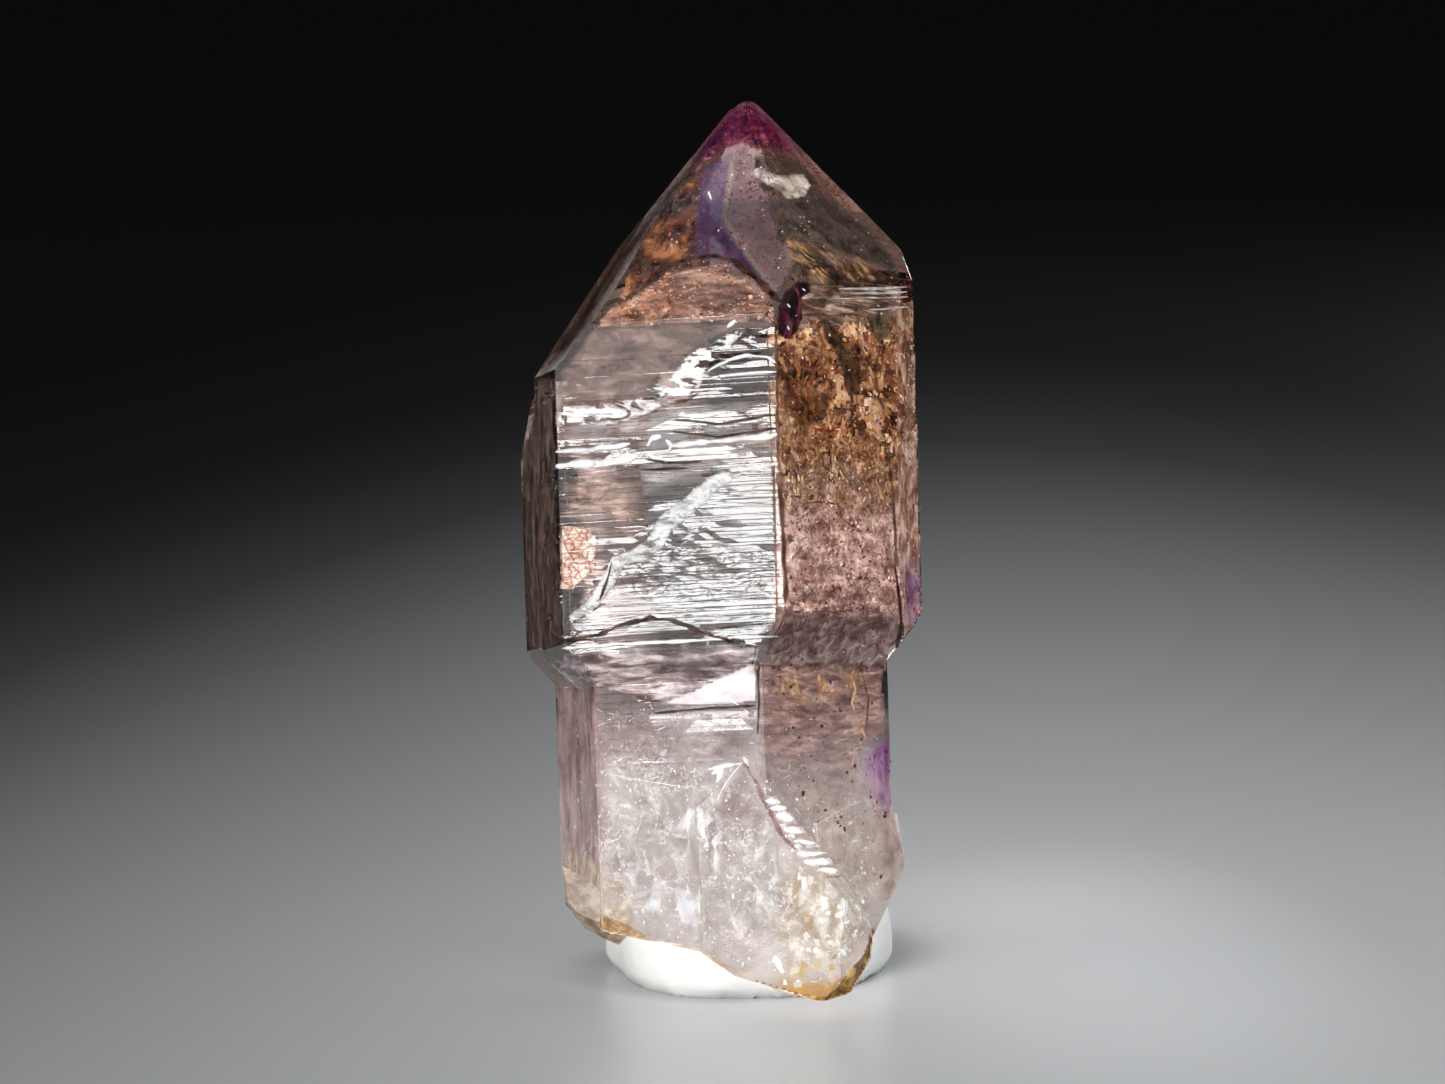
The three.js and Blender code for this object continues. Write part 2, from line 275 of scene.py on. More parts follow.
def along(line, across):
    """The height of a line of points at the distances across."""
    points = np.array(line)
    return np.interp(across, points[:, 0], points[:, 1])


def distance_to_line(line, u, z):
    """The distance from each place on a face to a line of points on it."""
    points = np.array(line)
    best = np.full(len(u), 1e9)
    for start, end in zip(points[:-1], points[1:]):
        step = end - start
        part = ((u - start[0]) * step[0] + (z - start[1]) * step[1]) / (step @ step)
        part = np.clip(part, 0, 1)
        away = np.hypot(u - start[0] - part * step[0], z - start[1] - part * step[1])
        best = np.minimum(best, away)
    return best


def front_shine(u, z):
    """How much of the front face's terraces tilts up towards the key light, from 0 to 1."""
    ragged = 0.5 * (smooth_noise(np.stack([u, z], 1), (0.5, 0.35), 31) - 0.5)
    below_upper = ramp(along(UPPER_SUTURE, u) + ragged - z, -0.1, 0.25)
    below_lower = ramp(along(LOWER_SUTURE, u) + ragged - z, -0.1, 0.25)
    streaks = smooth_noise(np.stack([u, z], 1), (4.5, 0.3), 32)
    middle = ramp(streaks, 0.45, 0.64) * (0.65 + 0.35 * ramp(u, -3, 2)) * (1 - 0.5 * ramp(z, 30.4, 31.2))
    low = ramp(streaks, 0.0, 0.17)
    shine = below_upper * ((1 - below_lower) * middle + below_lower * low)
    copper = ramp(-3.2 - u, 0, 0.8) * ramp(z, 20.3, 20.9) * ramp(26.2 - z, 0, 0.9)
    return shine * (1 - copper)


def band_tilt(face, band, u):
    """The slope of a band's terrace: how far its surface falls back for each mm up."""
    count = np.stack([u, band * 1.0], 1)
    own = smooth_noise(count + face * 57.3, (2.6, 0.7), STRIATION_SEED) - 0.5
    if face == 0:
        height = BANDS[np.clip(band, 0, len(BANDS) - 1)]
        shine = front_shine(u, height)
        calm = ramp(along(UPPER_SUTURE, u) - height, -0.1, 0.4)
        return shine * 0.12 + (1 - shine) * own * 0.12 * calm + 0.012 * own
    return 0.16 * own


def striation_height(face, u, z):
    """How far a side's surface stands out at a distance u along it and a height z."""
    band = np.clip(np.searchsorted(BANDS, z + 1e-4) - 1, 0, len(BANDS) - 2)
    low, high = BANDS[band], BANDS[band + 1]
    start = low + RISER_MM
    half = (high - start) / 2
    own = -band_tilt(face, band, u) * (z - start - half)
    own_start = band_tilt(face, band, u) * half
    before_half = (low - BANDS[np.maximum(band - 1, 0)] - RISER_MM) / 2
    before_end = -band_tilt(face, band - 1, u) * before_half
    part = np.clip((z - low) / RISER_MM, 0, 1)
    riser = before_end + (own_start - before_end) * part
    return np.where(z < start, riser, own)


def side_height(face, points):
    """How far one of the six sides stands out at the given points."""
    azimuth = math.radians(FACE_AZIMUTHS[face])
    u = points[:, 0] * math.cos(azimuth) - points[:, 1] * math.sin(azimuth)
    z = points[:, 2]
    on_head = ramp(z, 15.5, 17.5)
    strength = 0.03 + 0.15 * ramp(z, 10, 13.5) + 0.82 * on_head
    height = striation_height(face, u, z) * strength
    waves = smooth_noise(np.stack([u, z], 1), (2.2, 3.1), 40 + face) - 0.5
    height = height + 0.06 * waves * (1 - 0.8 * on_head)
    if face == 0:
        rough = np.exp(-((distance_to_line(UPPER_SUTURE, u, z) / 0.32) ** 2))
        rough = rough + np.exp(-((distance_to_line(LOWER_SUTURE, u, z) / 0.32) ** 2))
        pebbly = ramp(z, 20.2, 21.2) * ramp(23.6 - z, 0, 0.6) * ramp(u, -2.6, -1.8) * ramp(3.4 - u, 0, 1)
        grain = smooth_noise(np.stack([u, z], 1), (0.45, 0.3), 50) - 0.5
        height = height + grain * (0.1 * rough + 0.07 * pebbly)
    base = ramp(13 - z, 0, 7)
    lumps = smooth_noise(points, (2.6, 2.6, 2.4), 60 + face) + 0.3 * smooth_noise(points, (0.9, 0.9, 0.8), 61)
    return height + base * 0.16 * (lumps - 0.65)


def tip_height(face, points):
    """Low growth hills on the tip's faces."""
    hills = smooth_noise(points, (2.4, 2.4, 1.6), 70 + face) - 0.5
    fine = smooth_noise(points, (3.5, 3.5, 0.35), 71) - 0.5
    return 0.05 * hills + 0.012 * fine


def broken_height(points):
    """The uneven broken surface at the base."""
    lumps = smooth_noise(points, (1.8, 1.8, 1.5), 80) + 0.4 * smooth_noise(points, (0.6, 0.6, 0.5), 81)
    return 0.2 * (lumps - 0.7) * ramp(4.5 - points[:, 2], 0, 2.5)


def named_faces(polygons):
    """Which of the named faces each polygon belongs to, or OTHER_FACE."""
    after = np.roll(polygons, -1, axis=1)
    normal = np.cross(polygons, after).sum(1)
    normal /= np.maximum(np.linalg.norm(normal, axis=1), 1e-12)[:, None]
    match = normal @ FACE_NORMALS.T
    best = match.argmax(1)
    return np.where(match.max(1) > math.cos(math.radians(14)), best, OTHER_FACE)


def raised(points, faces, kinds):
    """The points moved out or in along the faces that meet at them."""
    meets = np.zeros((len(points), OTHER_FACE + 1), bool)
    for polygon, kind in zip(faces, kinds):
        meets[polygon, kind] = True
    shift = np.zeros_like(points)
    for face in range(OTHER_FACE):
        here = meets[:, face]
        if face < 6:
            height = side_height(face, points[here])
        else:
            height = tip_height(face, points[here])
        shift[here] += height[:, None] * FACE_NORMALS[face]
    rough = meets[:, OTHER_FACE]
    middle = np.array([0, 0, 9.0])
    away = points[rough] - middle
    away /= np.linalg.norm(away, axis=1)[:, None]
    shift[rough] += broken_height(points[rough])[:, None] * away
    return points + shift / meets.sum(1)[:, None]


def kept_in_box(points, low, high):
    """Scene points held inside a box."""
    return np.clip(points, np.array(low), np.array(high))


def mesh_object(name, points, faces, smooth=False):
    """A new object from points in metres and faces."""
    mesh = bpy.data.meshes.new(name)
    mesh.from_pydata(np.asarray(points).tolist(), [], faces)
    mesh.update()
    if smooth:
        mesh.shade_smooth()
    piece = bpy.data.objects.new(name, mesh)
    bpy.context.scene.collection.objects.link(piece)
    return piece


def crystal_surface():
    """The crystal's finely stepped surface, and its points and faces in the crystal's axes."""
    polygons = {3: node_triangles(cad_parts["crystal"])}
    polygons = cut_by_levels(polygons, 0, np.arange(-11.0, 11.0, COLUMN_MM))
    polygons = cut_by_levels(polygons, 1, np.arange(-13.0, 11.0, COLUMN_MM * 1.6))
    polygons = cut_by_levels(polygons, 2, np.sort(np.concatenate([BANDS, BANDS + RISER_MM])))
    points, faces, kinds = joined_mesh(polygons)
    stepped = raised(points, faces, kinds)
    low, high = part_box("crystal")
    scene_points = kept_in_box(to_scene(stepped), low, high)
    piece = mesh_object("crystal_surface", scene_points, faces)
    return piece, points, faces


# Materials

def new_material(name):
    """A material with its Principled shader, and the function that adds nodes to it."""
    material = bpy.data.materials.new(name)
    material.use_nodes = True
    shader = material.node_tree.nodes["Principled BSDF"]

    def add(kind, **values):
        node = material.node_tree.nodes.new(kind)
        for key, value in values.items():
            if key in node.inputs:
                node.inputs[key].default_value = value
            else:
                setattr(node, key, value)
        return node

    return material, shader, add, material.node_tree.links.new


def mixed(colour, other, amount):
    """Colours moved towards another colour by an amount from 0 to 1 at each point."""
    amount = np.clip(amount, 0, 1)[:, None]
    return colour * (1 - amount) + np.array(other) * amount


CLEAR_GREY = (0.93, 0.90, 0.88)
SMOKY = (0.70, 0.50, 0.40)
GOLD = (0.78, 0.58, 0.38)
MAUVE = (0.80, 0.66, 0.68)
PURPLE = (0.42, 0.05, 0.30)
MILK = (0.60, 0.545, 0.515)
RUST = (0.62, 0.34, 0.10)


def rim_stain(points):
    """How much iron stain a point has: most along the lowest edges of the break."""
    x, z = points[:, 0], points[:, 2]
    ragged = smooth_noise(points, (0.8, 0.8, 0.6), 95)
    left = ramp(2.1 - z - 1.2 * ragged, 0, 0.7) * ramp(-x, 4.2, 6.2)
    right = ramp(1.4 - z - 1.0 * ragged, 0, 0.5) * ramp(x, 3.4, 4.6)
    return np.clip(left + right, 0, 1)


def crystal_colour(points):
    """The crystal's tint and how milky it is at points in its axes."""
    x, y, z = points[:, 0], points[:, 1], points[:, 2]
    wander = smooth_noise(points, (2.4, 2.4, 2.0), 90) - 0.5
    fine = smooth_noise(points, (0.6, 0.6, 0.5), 91) - 0.5
    right = ramp(x, 1.0, 4.5)
    left = ramp(-x, 3.5, 7.5)
    upper = ramp(z + 4 * wander, 22, 27)
    colour = np.tile(CLEAR_GREY, (len(points), 1))
    colour = mixed(colour, MAUVE, 0.8 * ramp(26 - z + 3 * wander, 0, 6) * (right + left))
    colour = mixed(colour, SMOKY, 0.85 * right * upper)
    golden = ramp(wander + fine, 0.05, 0.3) * ramp(z, 23, 27) * ramp(36 - z, 0, 3)
    colour = mixed(colour, GOLD, 0.7 * right * golden)
    colour = mixed(colour, SMOKY, 0.6 * left * ramp(z, 17, 22))
    colour = mixed(colour, SMOKY, 0.7 * ramp(z, 32.5, 33.5) * ramp(41 - z, 0, 4))
    colour = mixed(colour, MAUVE, 0.6 * ramp(17.5 - z, 0, 2))
    colour = mixed(colour, PURPLE, 0.95 * ramp(z + 1.5 * wander, 41.5, 43.5))
    milky = ramp(14.5 - z + 4 * wander + 0.35 * (5 - np.abs(x + 0.5)), 0, 7)
    colour = mixed(colour, MILK, 0.9 * milky)
    colour = mixed(colour, RUST, rim_stain(points))
    cloudy = smooth_noise(points, (2.8, 2.8, 2.4), 92) - 0.5
    return np.clip(colour * (1 + 0.12 * fine + 0.3 * cloudy)[:, None], 0, 1), milky


def haze_amount(points):
    """How dense the fine haze in the crystal is."""
    x, y, z = points[:, 0], points[:, 1], points[:, 2]
    in_front = ramp(-y, 0, 3) * ramp(z, 15, 18)
    low_right = ramp(x, 1, 4) * ramp(z, 14, 18) * ramp(28 - z, 0, 5)
    below_head = ramp(18 - z, 0, 2)
    return (0.02 + 0.09 * in_front + 0.10 * low_right + 0.12 * below_head) * ramp(32 - z, 0, 4)


def store_value(piece, name, values):
    """Stores a number on each of a piece's points."""
    attribute = piece.data.attributes.new(name, "FLOAT", "POINT")
    attribute.data.foreach_set("value", np.asarray(values, np.float32))


def store_places(piece, points):
    """Stores each point's place in the crystal's axes, in mm, which the patterns follow."""
    attribute = piece.data.attributes.new("place", "FLOAT_VECTOR", "POINT")
    attribute.data.foreach_set("vector", np.asarray(points, np.float32).ravel())


def set_attributes(piece, points):
    """Stores the crystal's tint, milkiness and haze on its points."""
    colour, milky = crystal_colour(points)
    tint = piece.data.attributes.new("tint", "FLOAT_COLOR", "POINT")
    tint.data.foreach_set("color", np.hstack([colour, np.ones((len(points), 1))]).astype(np.float32).ravel())
    store_value(piece, "milk", milky)
    store_value(piece, "haze", haze_amount(points))


def wisps(add, link, scale, detail, distortion, low, high):
    """A node output from 0 to 1: wispy clouds. scale counts blotches in a metre."""
    place = add("ShaderNodeTexCoord")
    clouds = add("ShaderNodeTexNoise", Scale=scale, Detail=detail, Roughness=0.6, Distortion=distortion)
    link(place.outputs["Object"], clouds.inputs["Vector"])
    part = add("ShaderNodeMapRange")
    part.interpolation_type = "SMOOTHSTEP"
    part.inputs["From Min"].default_value = low
    part.inputs["From Max"].default_value = high
    link(clouds.outputs["Fac"], part.inputs["Value"])
    return part.outputs["Result"]


def quartz_material():
    """Clear, smoky and milky quartz."""
    material, shader, add, link = new_material("quartz")
    tint = add("ShaderNodeAttribute", attribute_name="tint")
    milk = add("ShaderNodeAttribute", attribute_name="milk")
    cloud = wisps(add, link, 480.0, 4.0, 0.6, 0.3, 0.72)
    opaque_share = add("ShaderNodeMath", operation="MULTIPLY_ADD")
    link(cloud, opaque_share.inputs[0])
    opaque_share.inputs[1].default_value = 0.5
    opaque_share.inputs[2].default_value = 0.3
    opaque = add("ShaderNodeMath", operation="MULTIPLY")
    link(milk.outputs["Fac"], opaque.inputs[0])
    link(opaque_share.outputs["Value"], opaque.inputs[1])
    clear = add("ShaderNodeMath", operation="SUBTRACT")
    clear.inputs[0].default_value = 1.0
    link(opaque.outputs["Value"], clear.inputs[1])
    rough = add("ShaderNodeMath", operation="MULTIPLY_ADD")
    link(milk.outputs["Fac"], rough.inputs[0])
    rough.inputs[1].default_value = 0.16
    rough.inputs[2].default_value = 0.025
    place = add("ShaderNodeTexCoord")
    grain = add("ShaderNodeTexNoise", Scale=2200.0, Detail=5.0, Roughness=0.65)
    link(place.outputs["Object"], grain.inputs["Vector"])
    bump = add("ShaderNodeBump", Distance=0.0002)
    strength = add("ShaderNodeMath", operation="MULTIPLY_ADD")
    link(milk.outputs["Fac"], strength.inputs[0])
    strength.inputs[1].default_value = 0.12
    strength.inputs[2].default_value = 0.02
    link(strength.outputs["Value"], bump.inputs["Strength"])
    link(grain.outputs["Fac"], bump.inputs["Height"])
    link(tint.outputs["Color"], shader.inputs["Base Color"])
    link(clear.outputs["Value"], shader.inputs["Transmission Weight"])
    link(rough.outputs["Value"], shader.inputs["Roughness"])
    link(bump.outputs["Normal"], shader.inputs["Normal"])
    shader.inputs["IOR"].default_value = QUARTZ_IOR
    absorption = add("ShaderNodeVolumeAbsorption", Color=(0.80, 0.66, 0.64, 1), Density=30.0)
    link(absorption.outputs["Volume"], material.node_tree.nodes["Material Output"].inputs["Volume"])
    return material


def haze_material(name):
    """A thin haze of fine inclusions, seen through."""
    material, shader, add, link = new_material(name)
    tint = add("ShaderNodeAttribute", attribute_name="tint")
    haze = add("ShaderNodeAttribute", attribute_name="haze")
    cloud = wisps(add, link, 700.0, 6.0, 2.0, 0.35, 0.66)
    alpha = add("ShaderNodeMath", operation="MULTIPLY")
    link(cloud, alpha.inputs[0])
    link(haze.outputs["Fac"], alpha.inputs[1])
    link(alpha.outputs["Value"], shader.inputs["Alpha"])
    link(tint.outputs["Color"], shader.inputs["Base Color"])
    shader.inputs["Roughness"].default_value = 0.5
    return material


def putty_material():
    """Matt white putty with a faint warm mottle."""
    material, shader, add, link = new_material("white_putty")
    place = add("ShaderNodeTexCoord")
    mottle = add("ShaderNodeTexNoise", Scale=500.0, Detail=3.0)
    link(place.outputs["Object"], mottle.inputs["Vector"])
    shades = colour_steps(add, link, mottle.outputs["Fac"], [(0.88, 0.89, 0.84), (0.95, 0.95, 0.92)])
    link(shades, shader.inputs["Base Color"])
    shader.inputs["Roughness"].default_value = 0.55
    bump = add("ShaderNodeBump", Strength=0.15, Distance=0.0002)
    link(mottle.outputs["Fac"], bump.inputs["Height"])
    link(bump.outputs["Normal"], shader.inputs["Normal"])
    return material


def painted_light_floor_material():
    """A floor with a pool of light painted on it: pale near the object, falling off to dark far away."""
    material, shader, add, link = new_material("floor")
    place = add("ShaderNodeTexCoord")
    moved = add("ShaderNodeVectorMath", operation="SUBTRACT")
    link(place.outputs["Object"], moved.inputs[0])
    moved.inputs[1].default_value = (PAINTED_LIGHT_BRIGHTEST_X, 0, 0)
    parts = add("ShaderNodeSeparateXYZ")
    link(moved.outputs["Vector"], parts.inputs["Vector"])
    gain = add("ShaderNodeMath", operation="MULTIPLY_ADD")
    link(parts.outputs["Y"], gain.inputs[0])
    gain.inputs[1].default_value = PAINTED_LIGHT_STRETCH_GAIN
    gain.inputs[2].default_value = PAINTED_LIGHT_STRETCH_X
    stretch = add("ShaderNodeMath", operation="MAXIMUM")
    link(gain.outputs["Value"], stretch.inputs[0])
    stretch.inputs[1].default_value = 1.0
    across = add("ShaderNodeMath", operation="MULTIPLY")
    link(parts.outputs["X"], across.inputs[0])
    link(stretch.outputs["Value"], across.inputs[1])
    stretched = add("ShaderNodeCombineXYZ")
    link(across.outputs["Value"], stretched.inputs["X"])
    link(parts.outputs["Y"], stretched.inputs["Y"])
    length = add("ShaderNodeVectorMath", operation="LENGTH")
    link(stretched.outputs["Vector"], length.inputs[0])
    shades = add("ShaderNodeValToRGB")
    stops = shades.color_ramp.elements
    while len(stops) < len(PAINTED_LIGHT_FALL):
        stops.new(1.0)
    for stop, (distance, share) in zip(stops, PAINTED_LIGHT_FALL):
        stop.position = distance
        stop.color = tuple(share * tone for tone in FLOOR_TONE) + (1,)
    link(length.outputs["Value"], shades.inputs["Fac"])
    link(shades.outputs["Color"], shader.inputs["Base Color"])
    shader.inputs["Roughness"].default_value = 0.34
    shader.inputs["Specular IOR Level"].default_value = 0.35
    return material


# Inclusions: small pieces sealed in the crystal. A place is given by a pixel of the photograph and
# how deep it lies below the surface that shows there.

RUST_FLAKES = {"count": 4500, "size": (0.05, 0.2), "thickness": 0.02}

# Flecks: many small flat pieces close under the surface, each kind below an outline in pixels of the
# photograph. depths and sizes are in mm, aspect is height by width, tilt is how far they turn from the
# face, and the colours run from dark to pale from piece to piece.
FLECK_THICKNESS_MM = 0.02
FLECKS = {
    "brown_chips": {
        "outline": [(781, 336), (905, 318), (912, 400), (914, 462), (783, 462)], "count": 1000,
        "depths": (0.1, 0.6), "size": (0.08, 0.5), "aspect": (0.6, 2.4), "tilt": 0.35, "shine": 0.3,
        "colours": [(0.012, 0.004, 0.002), (0.10, 0.03, 0.012), (0.28, 0.10, 0.04), (0.5, 0.30, 0.12),
                    (0.75, 0.52, 0.34), (1.0, 0.85, 0.7)],
    },
    "olive_chips": {
        "outline": [(784, 426), (880, 430), (900, 450), (898, 500), (784, 500)], "count": 450,
        "depths": (0.1, 0.5), "size": (0.05, 0.2), "aspect": (1.0, 4.0), "tilt": 0.3, "shine": 0.3,
        "colours": [(0.04, 0.025, 0.008), (0.26, 0.18, 0.07), (0.5, 0.38, 0.19), (0.9, 0.78, 0.5)],
    },
    "mauve_chips": {
        "outline": [(785, 452), (912, 452), (918, 620), (898, 660), (790, 662), (788, 600)], "count": 1500,
        "depths": (0.1, 0.7), "size": (0.05, 0.26), "aspect": (0.25, 1.6), "tilt": 0.35, "shine": 0.3,
        "colours": [(0.08, 0.025, 0.02), (0.26, 0.13, 0.11), (0.46, 0.30, 0.27), (0.66, 0.5, 0.46),
                    (0.95, 0.85, 0.8)],
    },
    "band_chips": {
        "outline": [(596, 320), (618, 298), (664, 272), (725, 262), (776, 302), (776, 318)], "count": 420,
        "depths": (0.1, 0.5), "size": (0.06, 0.26), "aspect": (0.3, 1.2), "tilt": 0.3, "shine": 0.3,
        "colours": [(0.08, 0.03, 0.025), (0.25, 0.13, 0.10), (0.5, 0.3, 0.22), (0.9, 0.72, 0.6)],
    },
    "stem_chips": {
        "outline": [(765, 668), (862, 664), (866, 740), (850, 800), (790, 800), (766, 764)], "count": 420,
        "depths": (0.05, 0.45), "size": (0.05, 0.24), "aspect": (0.2, 0.9), "tilt": 0.3, "shine": 0.3,
        "colours": [(0.07, 0.03, 0.03), (0.20, 0.12, 0.11), (0.42, 0.31, 0.29), (0.85, 0.75, 0.7)],
    },
    "red_flakes": {
        "outline": [(800, 160), (906, 266), (916, 420), (920, 620), (896, 668), (786, 662), (780, 400),
                    (778, 300), (784, 236)], "count": 900,
        "depths": (0.03, 0.4), "size": (0.05, 0.16), "aspect": (0.5, 1.5), "tilt": 0.4, "shine": 0.3,
        "colours": [(0.03, 0.003, 0.003), (0.14, 0.012, 0.008), (0.32, 0.05, 0.03)],
    },
    "tip_flakes": {
        "outline": [(690, 178), (742, 104), (800, 160), (784, 236), (778, 300), (700, 318), (606, 316),
                    (650, 230)], "count": 420,
        "depths": (0.03, 0.35), "size": (0.04, 0.15), "aspect": (0.5, 2.2), "tilt": 0.5, "shine": 0.3,
        "colours": [(0.03, 0.003, 0.003), (0.16, 0.02, 0.012), (0.42, 0.12, 0.07)],
    },
    "stem_flakes": {
        "outline": [(765, 660), (880, 660), (890, 740), (902, 850), (885, 910), (850, 860), (800, 810)],
        "count": 110, "depths": (-0.05, -0.03), "size": (0.08, 0.26), "aspect": (0.5, 1.5), "tilt": 0.4,
        "shine": 0.3, "colours": [(0.02, 0.006, 0.006), (0.10, 0.03, 0.02)],
    },
    "bevel_flecks": {
        "outline": [(895, 300), (920, 300), (926, 360), (932, 480), (932, 590), (915, 640), (900, 600), (897, 440)],
        "count": 330, "depths": (-0.035, -0.015), "size": (0.04, 0.18), "aspect": (0.4, 3.0), "tilt": 0.3,
        "shine": 0.3, "colours": [(0.03, 0.004, 0.003), (0.20, 0.03, 0.015), (0.42, 0.12, 0.06), (0.9, 0.6, 0.45)],
    },
    "mauve_flakes": {
        "outline": [(786, 450), (884, 450), (896, 500), (900, 640), (862, 664), (790, 662), (788, 600)],
        "count": 420, "depths": (-0.04, -0.025), "size": (0.05, 0.2), "aspect": (0.3, 1.6), "tilt": 0.3,
        "shine": 0.3, "colours": [(0.02, 0.003, 0.003), (0.10, 0.012, 0.01), (0.22, 0.05, 0.04)],
    },
    "face_glints": {
        "outline": [(786, 290), (905, 290), (926, 400), (930, 600), (880, 662), (790, 655)],
        "count": 110, "depths": (-0.04, -0.025), "size": (0.04, 0.16), "aspect": (0.5, 1.6), "tilt": 0.3,
        "shine": 0.1, "colours": [(0.9, 0.8, 0.74), (1.0, 1.0, 1.0)],
    },
    "head_glints": {
        "outline": [(606, 310), (700, 170), (742, 106), (905, 262), (918, 600), (880, 662), (786, 650),
                    (780, 330)], "count": 420,
        "depths": (0.02, 0.3), "size": (0.03, 0.1), "aspect": (0.5, 2.0), "tilt": 0.3, "shine": 0.1,
        "colours": [(0.9, 0.88, 0.86), (1.0, 1.0, 1.0)],
    },
    "base_glints": {
        "outline": [(600, 760), (740, 770), (860, 800), (885, 860), (862, 930), (840, 985), (760, 972),
                    (640, 925), (596, 890)], "count": 650,
        "depths": (-0.04, 0.0), "size": (0.03, 0.14), "aspect": (0.3, 3.0), "tilt": 0.5, "shine": 0.1,
        "colours": [(0.85, 0.84, 0.84), (1.0, 1.0, 1.0)],
    },
    "base_scratches": {
        "outline": [(566, 700), (740, 735), (860, 800), (870, 900), (820, 985), (700, 945), (580, 890)],
        "count": 260, "depths": (-0.03, 0.0), "size": (0.2, 0.7), "aspect": (0.04, 0.1), "tilt": 0.2,
        "shine": 0.2, "colours": [(0.6, 0.57, 0.56), (1.0, 1.0, 1.0)],
    },
    "corner_crystals": {
        "outline": [(790, 868), (830, 890), (864, 900), (862, 935), (850, 962), (826, 988), (780, 985),
                    (790, 940)], "count": 90,
        "depths": (-0.04, -0.01), "size": (0.15, 0.6), "aspect": (0.6, 1.8), "tilt": 0.3, "shine": 0.15,
        "colours": [(0.6, 0.42, 0.22), (0.76, 0.66, 0.5), (0.86, 0.8, 0.72), (1.0, 0.98, 0.95)],
    },
}


class Inside:
    """Finds places in the crystal."""

    def __init__(self, surface):
        mesh = surface.data
        points = [vertex.co.copy() for vertex in mesh.vertices]
        self.tree = BVHTree.FromPolygons(points, [tuple(face.vertices) for face in mesh.polygons])
        self.eye = bpy.context.scene.camera.location.copy()

    def depth(self, point):
        """How far a place in the crystal's axes lies below the surface, in mm, or less than 0 outside."""
        place = Vector(to_scene([point])[0])
        _, _, _, distance = self.tree.find_nearest(place)
        upward = Vector((0.13, 0.21, 0.97))
        hit, normal, _, _ = self.tree.ray_cast(place, upward)
        is_inside = hit is not None and normal.dot(upward) > 0
        return distance / MM if is_inside else -distance / MM

    def ray(self, pixel):
        """The direction in which the camera sees a pixel."""
        across = (pixel[0] - PHOTO_WIDTH / 2) / FOCAL_PIXELS
        up = (PHOTO_HEIGHT / 2 - pixel[1]) / FOCAL_PIXELS
        rise = math.radians(CAMERA_RISE)
        forward = np.array([0, math.cos(rise), -math.sin(rise)])
        upward = np.array([0, math.sin(rise), math.cos(rise)])
        return Vector(forward + across * np.array([1, 0, 0]) + up * upward).normalized()

    def at_pixel(self, pixel, y):
        """The scene point that is seen at a pixel and lies at a place y from front to back."""
        ray = self.ray(pixel)
        return self.eye + ray * ((y - self.eye.y) / ray.y)

    def under_pixel(self, pixel, depth):
        """The place at a depth in mm below the surface seen at a pixel, and that surface's normal."""
        hit, normal, _, _ = self.tree.ray_cast(self.eye, self.ray(pixel))
        if hit is None:
            return None
        normal = np.array(normal) @ CRYSTAL_AXES
        place = to_crystal([hit])[0] - normal * depth
        return place, normal


def in_polygon(pixel, polygon):
    """Whether a pixel is inside a polygon."""
    inside = False
    for (x0, y0), (x1, y1) in zip(polygon, polygon[1:] + polygon[:1]):
        if (y0 > pixel[1]) != (y1 > pixel[1]):
            if pixel[0] < (x1 - x0) * (pixel[1] - y0) / (y1 - y0) + x0:
                inside = not inside
    return inside


def places_under(inside, polygon, count, depths, rng):
    """Random places under a polygon of pixels, at random depths, with the surface's normals."""
    low, high = np.min(polygon, axis=0), np.max(polygon, axis=0)
    places, normals = [], []
    for _ in range(count * 12):
        pixel = rng.uniform(low, high)
        if len(places) == count:
            break
        if not in_polygon(pixel, polygon):
            continue
        depth = rng.uniform(*depths)
        found = inside.under_pixel(pixel, depth)
        if found is not None and (depth < 0.03 or inside.depth(found[0]) > 0.01):
            places.append(found[0])
            normals.append(found[1])
    return np.array(places), np.array(normals)


def unit(vectors):
    """Vectors made one long."""
    return vectors / np.maximum(np.linalg.norm(vectors, axis=1), 1e-9)[:, None]


def plates(name, centres, normals, upward, widths, heights, thickness, sides, rng, shades=None):
    """Many small flat plates in one mesh, each with a random outline and a shade, at random if none is given."""
    count = len(centres)
    across = unit(np.cross(upward, normals))
    upward = unit(np.cross(normals, across))
    angles = (np.arange(sides) + 0.5) / sides * 2 * math.pi + rng.uniform(-0.25, 0.25, (count, sides))
    reach = rng.uniform(0.7, 1.15, (count, sides)) / 2
    ring = centres[:, None] + (np.cos(angles) * reach * np.asarray(widths)[:, None])[..., None] * across[:, None]
    ring = ring + (np.sin(angles) * reach * np.asarray(heights)[:, None])[..., None] * upward[:, None]
    lift = normals[:, None] * thickness / 2
    points = np.concatenate([ring + lift, ring - lift], 1).reshape(-1, 3)
    faces = []
    for plate in range(count):
        start = plate * sides * 2
        top = [start + k for k in range(sides)]
        bottom = [start + sides + k for k in range(sides)]
        faces.append(top)
        faces.append(bottom[::-1])
        faces += [[top[k], bottom[k], bottom[(k + 1) % sides], top[(k + 1) % sides]] for k in range(sides)]
    piece = mesh_object(name, to_scene(points), faces)
    if shades is None:
        shades = rng.uniform(0, 1, count)
    store_value(piece, "shade", np.repeat(shades, sides * 2))
    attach(piece, "root")
    return piece


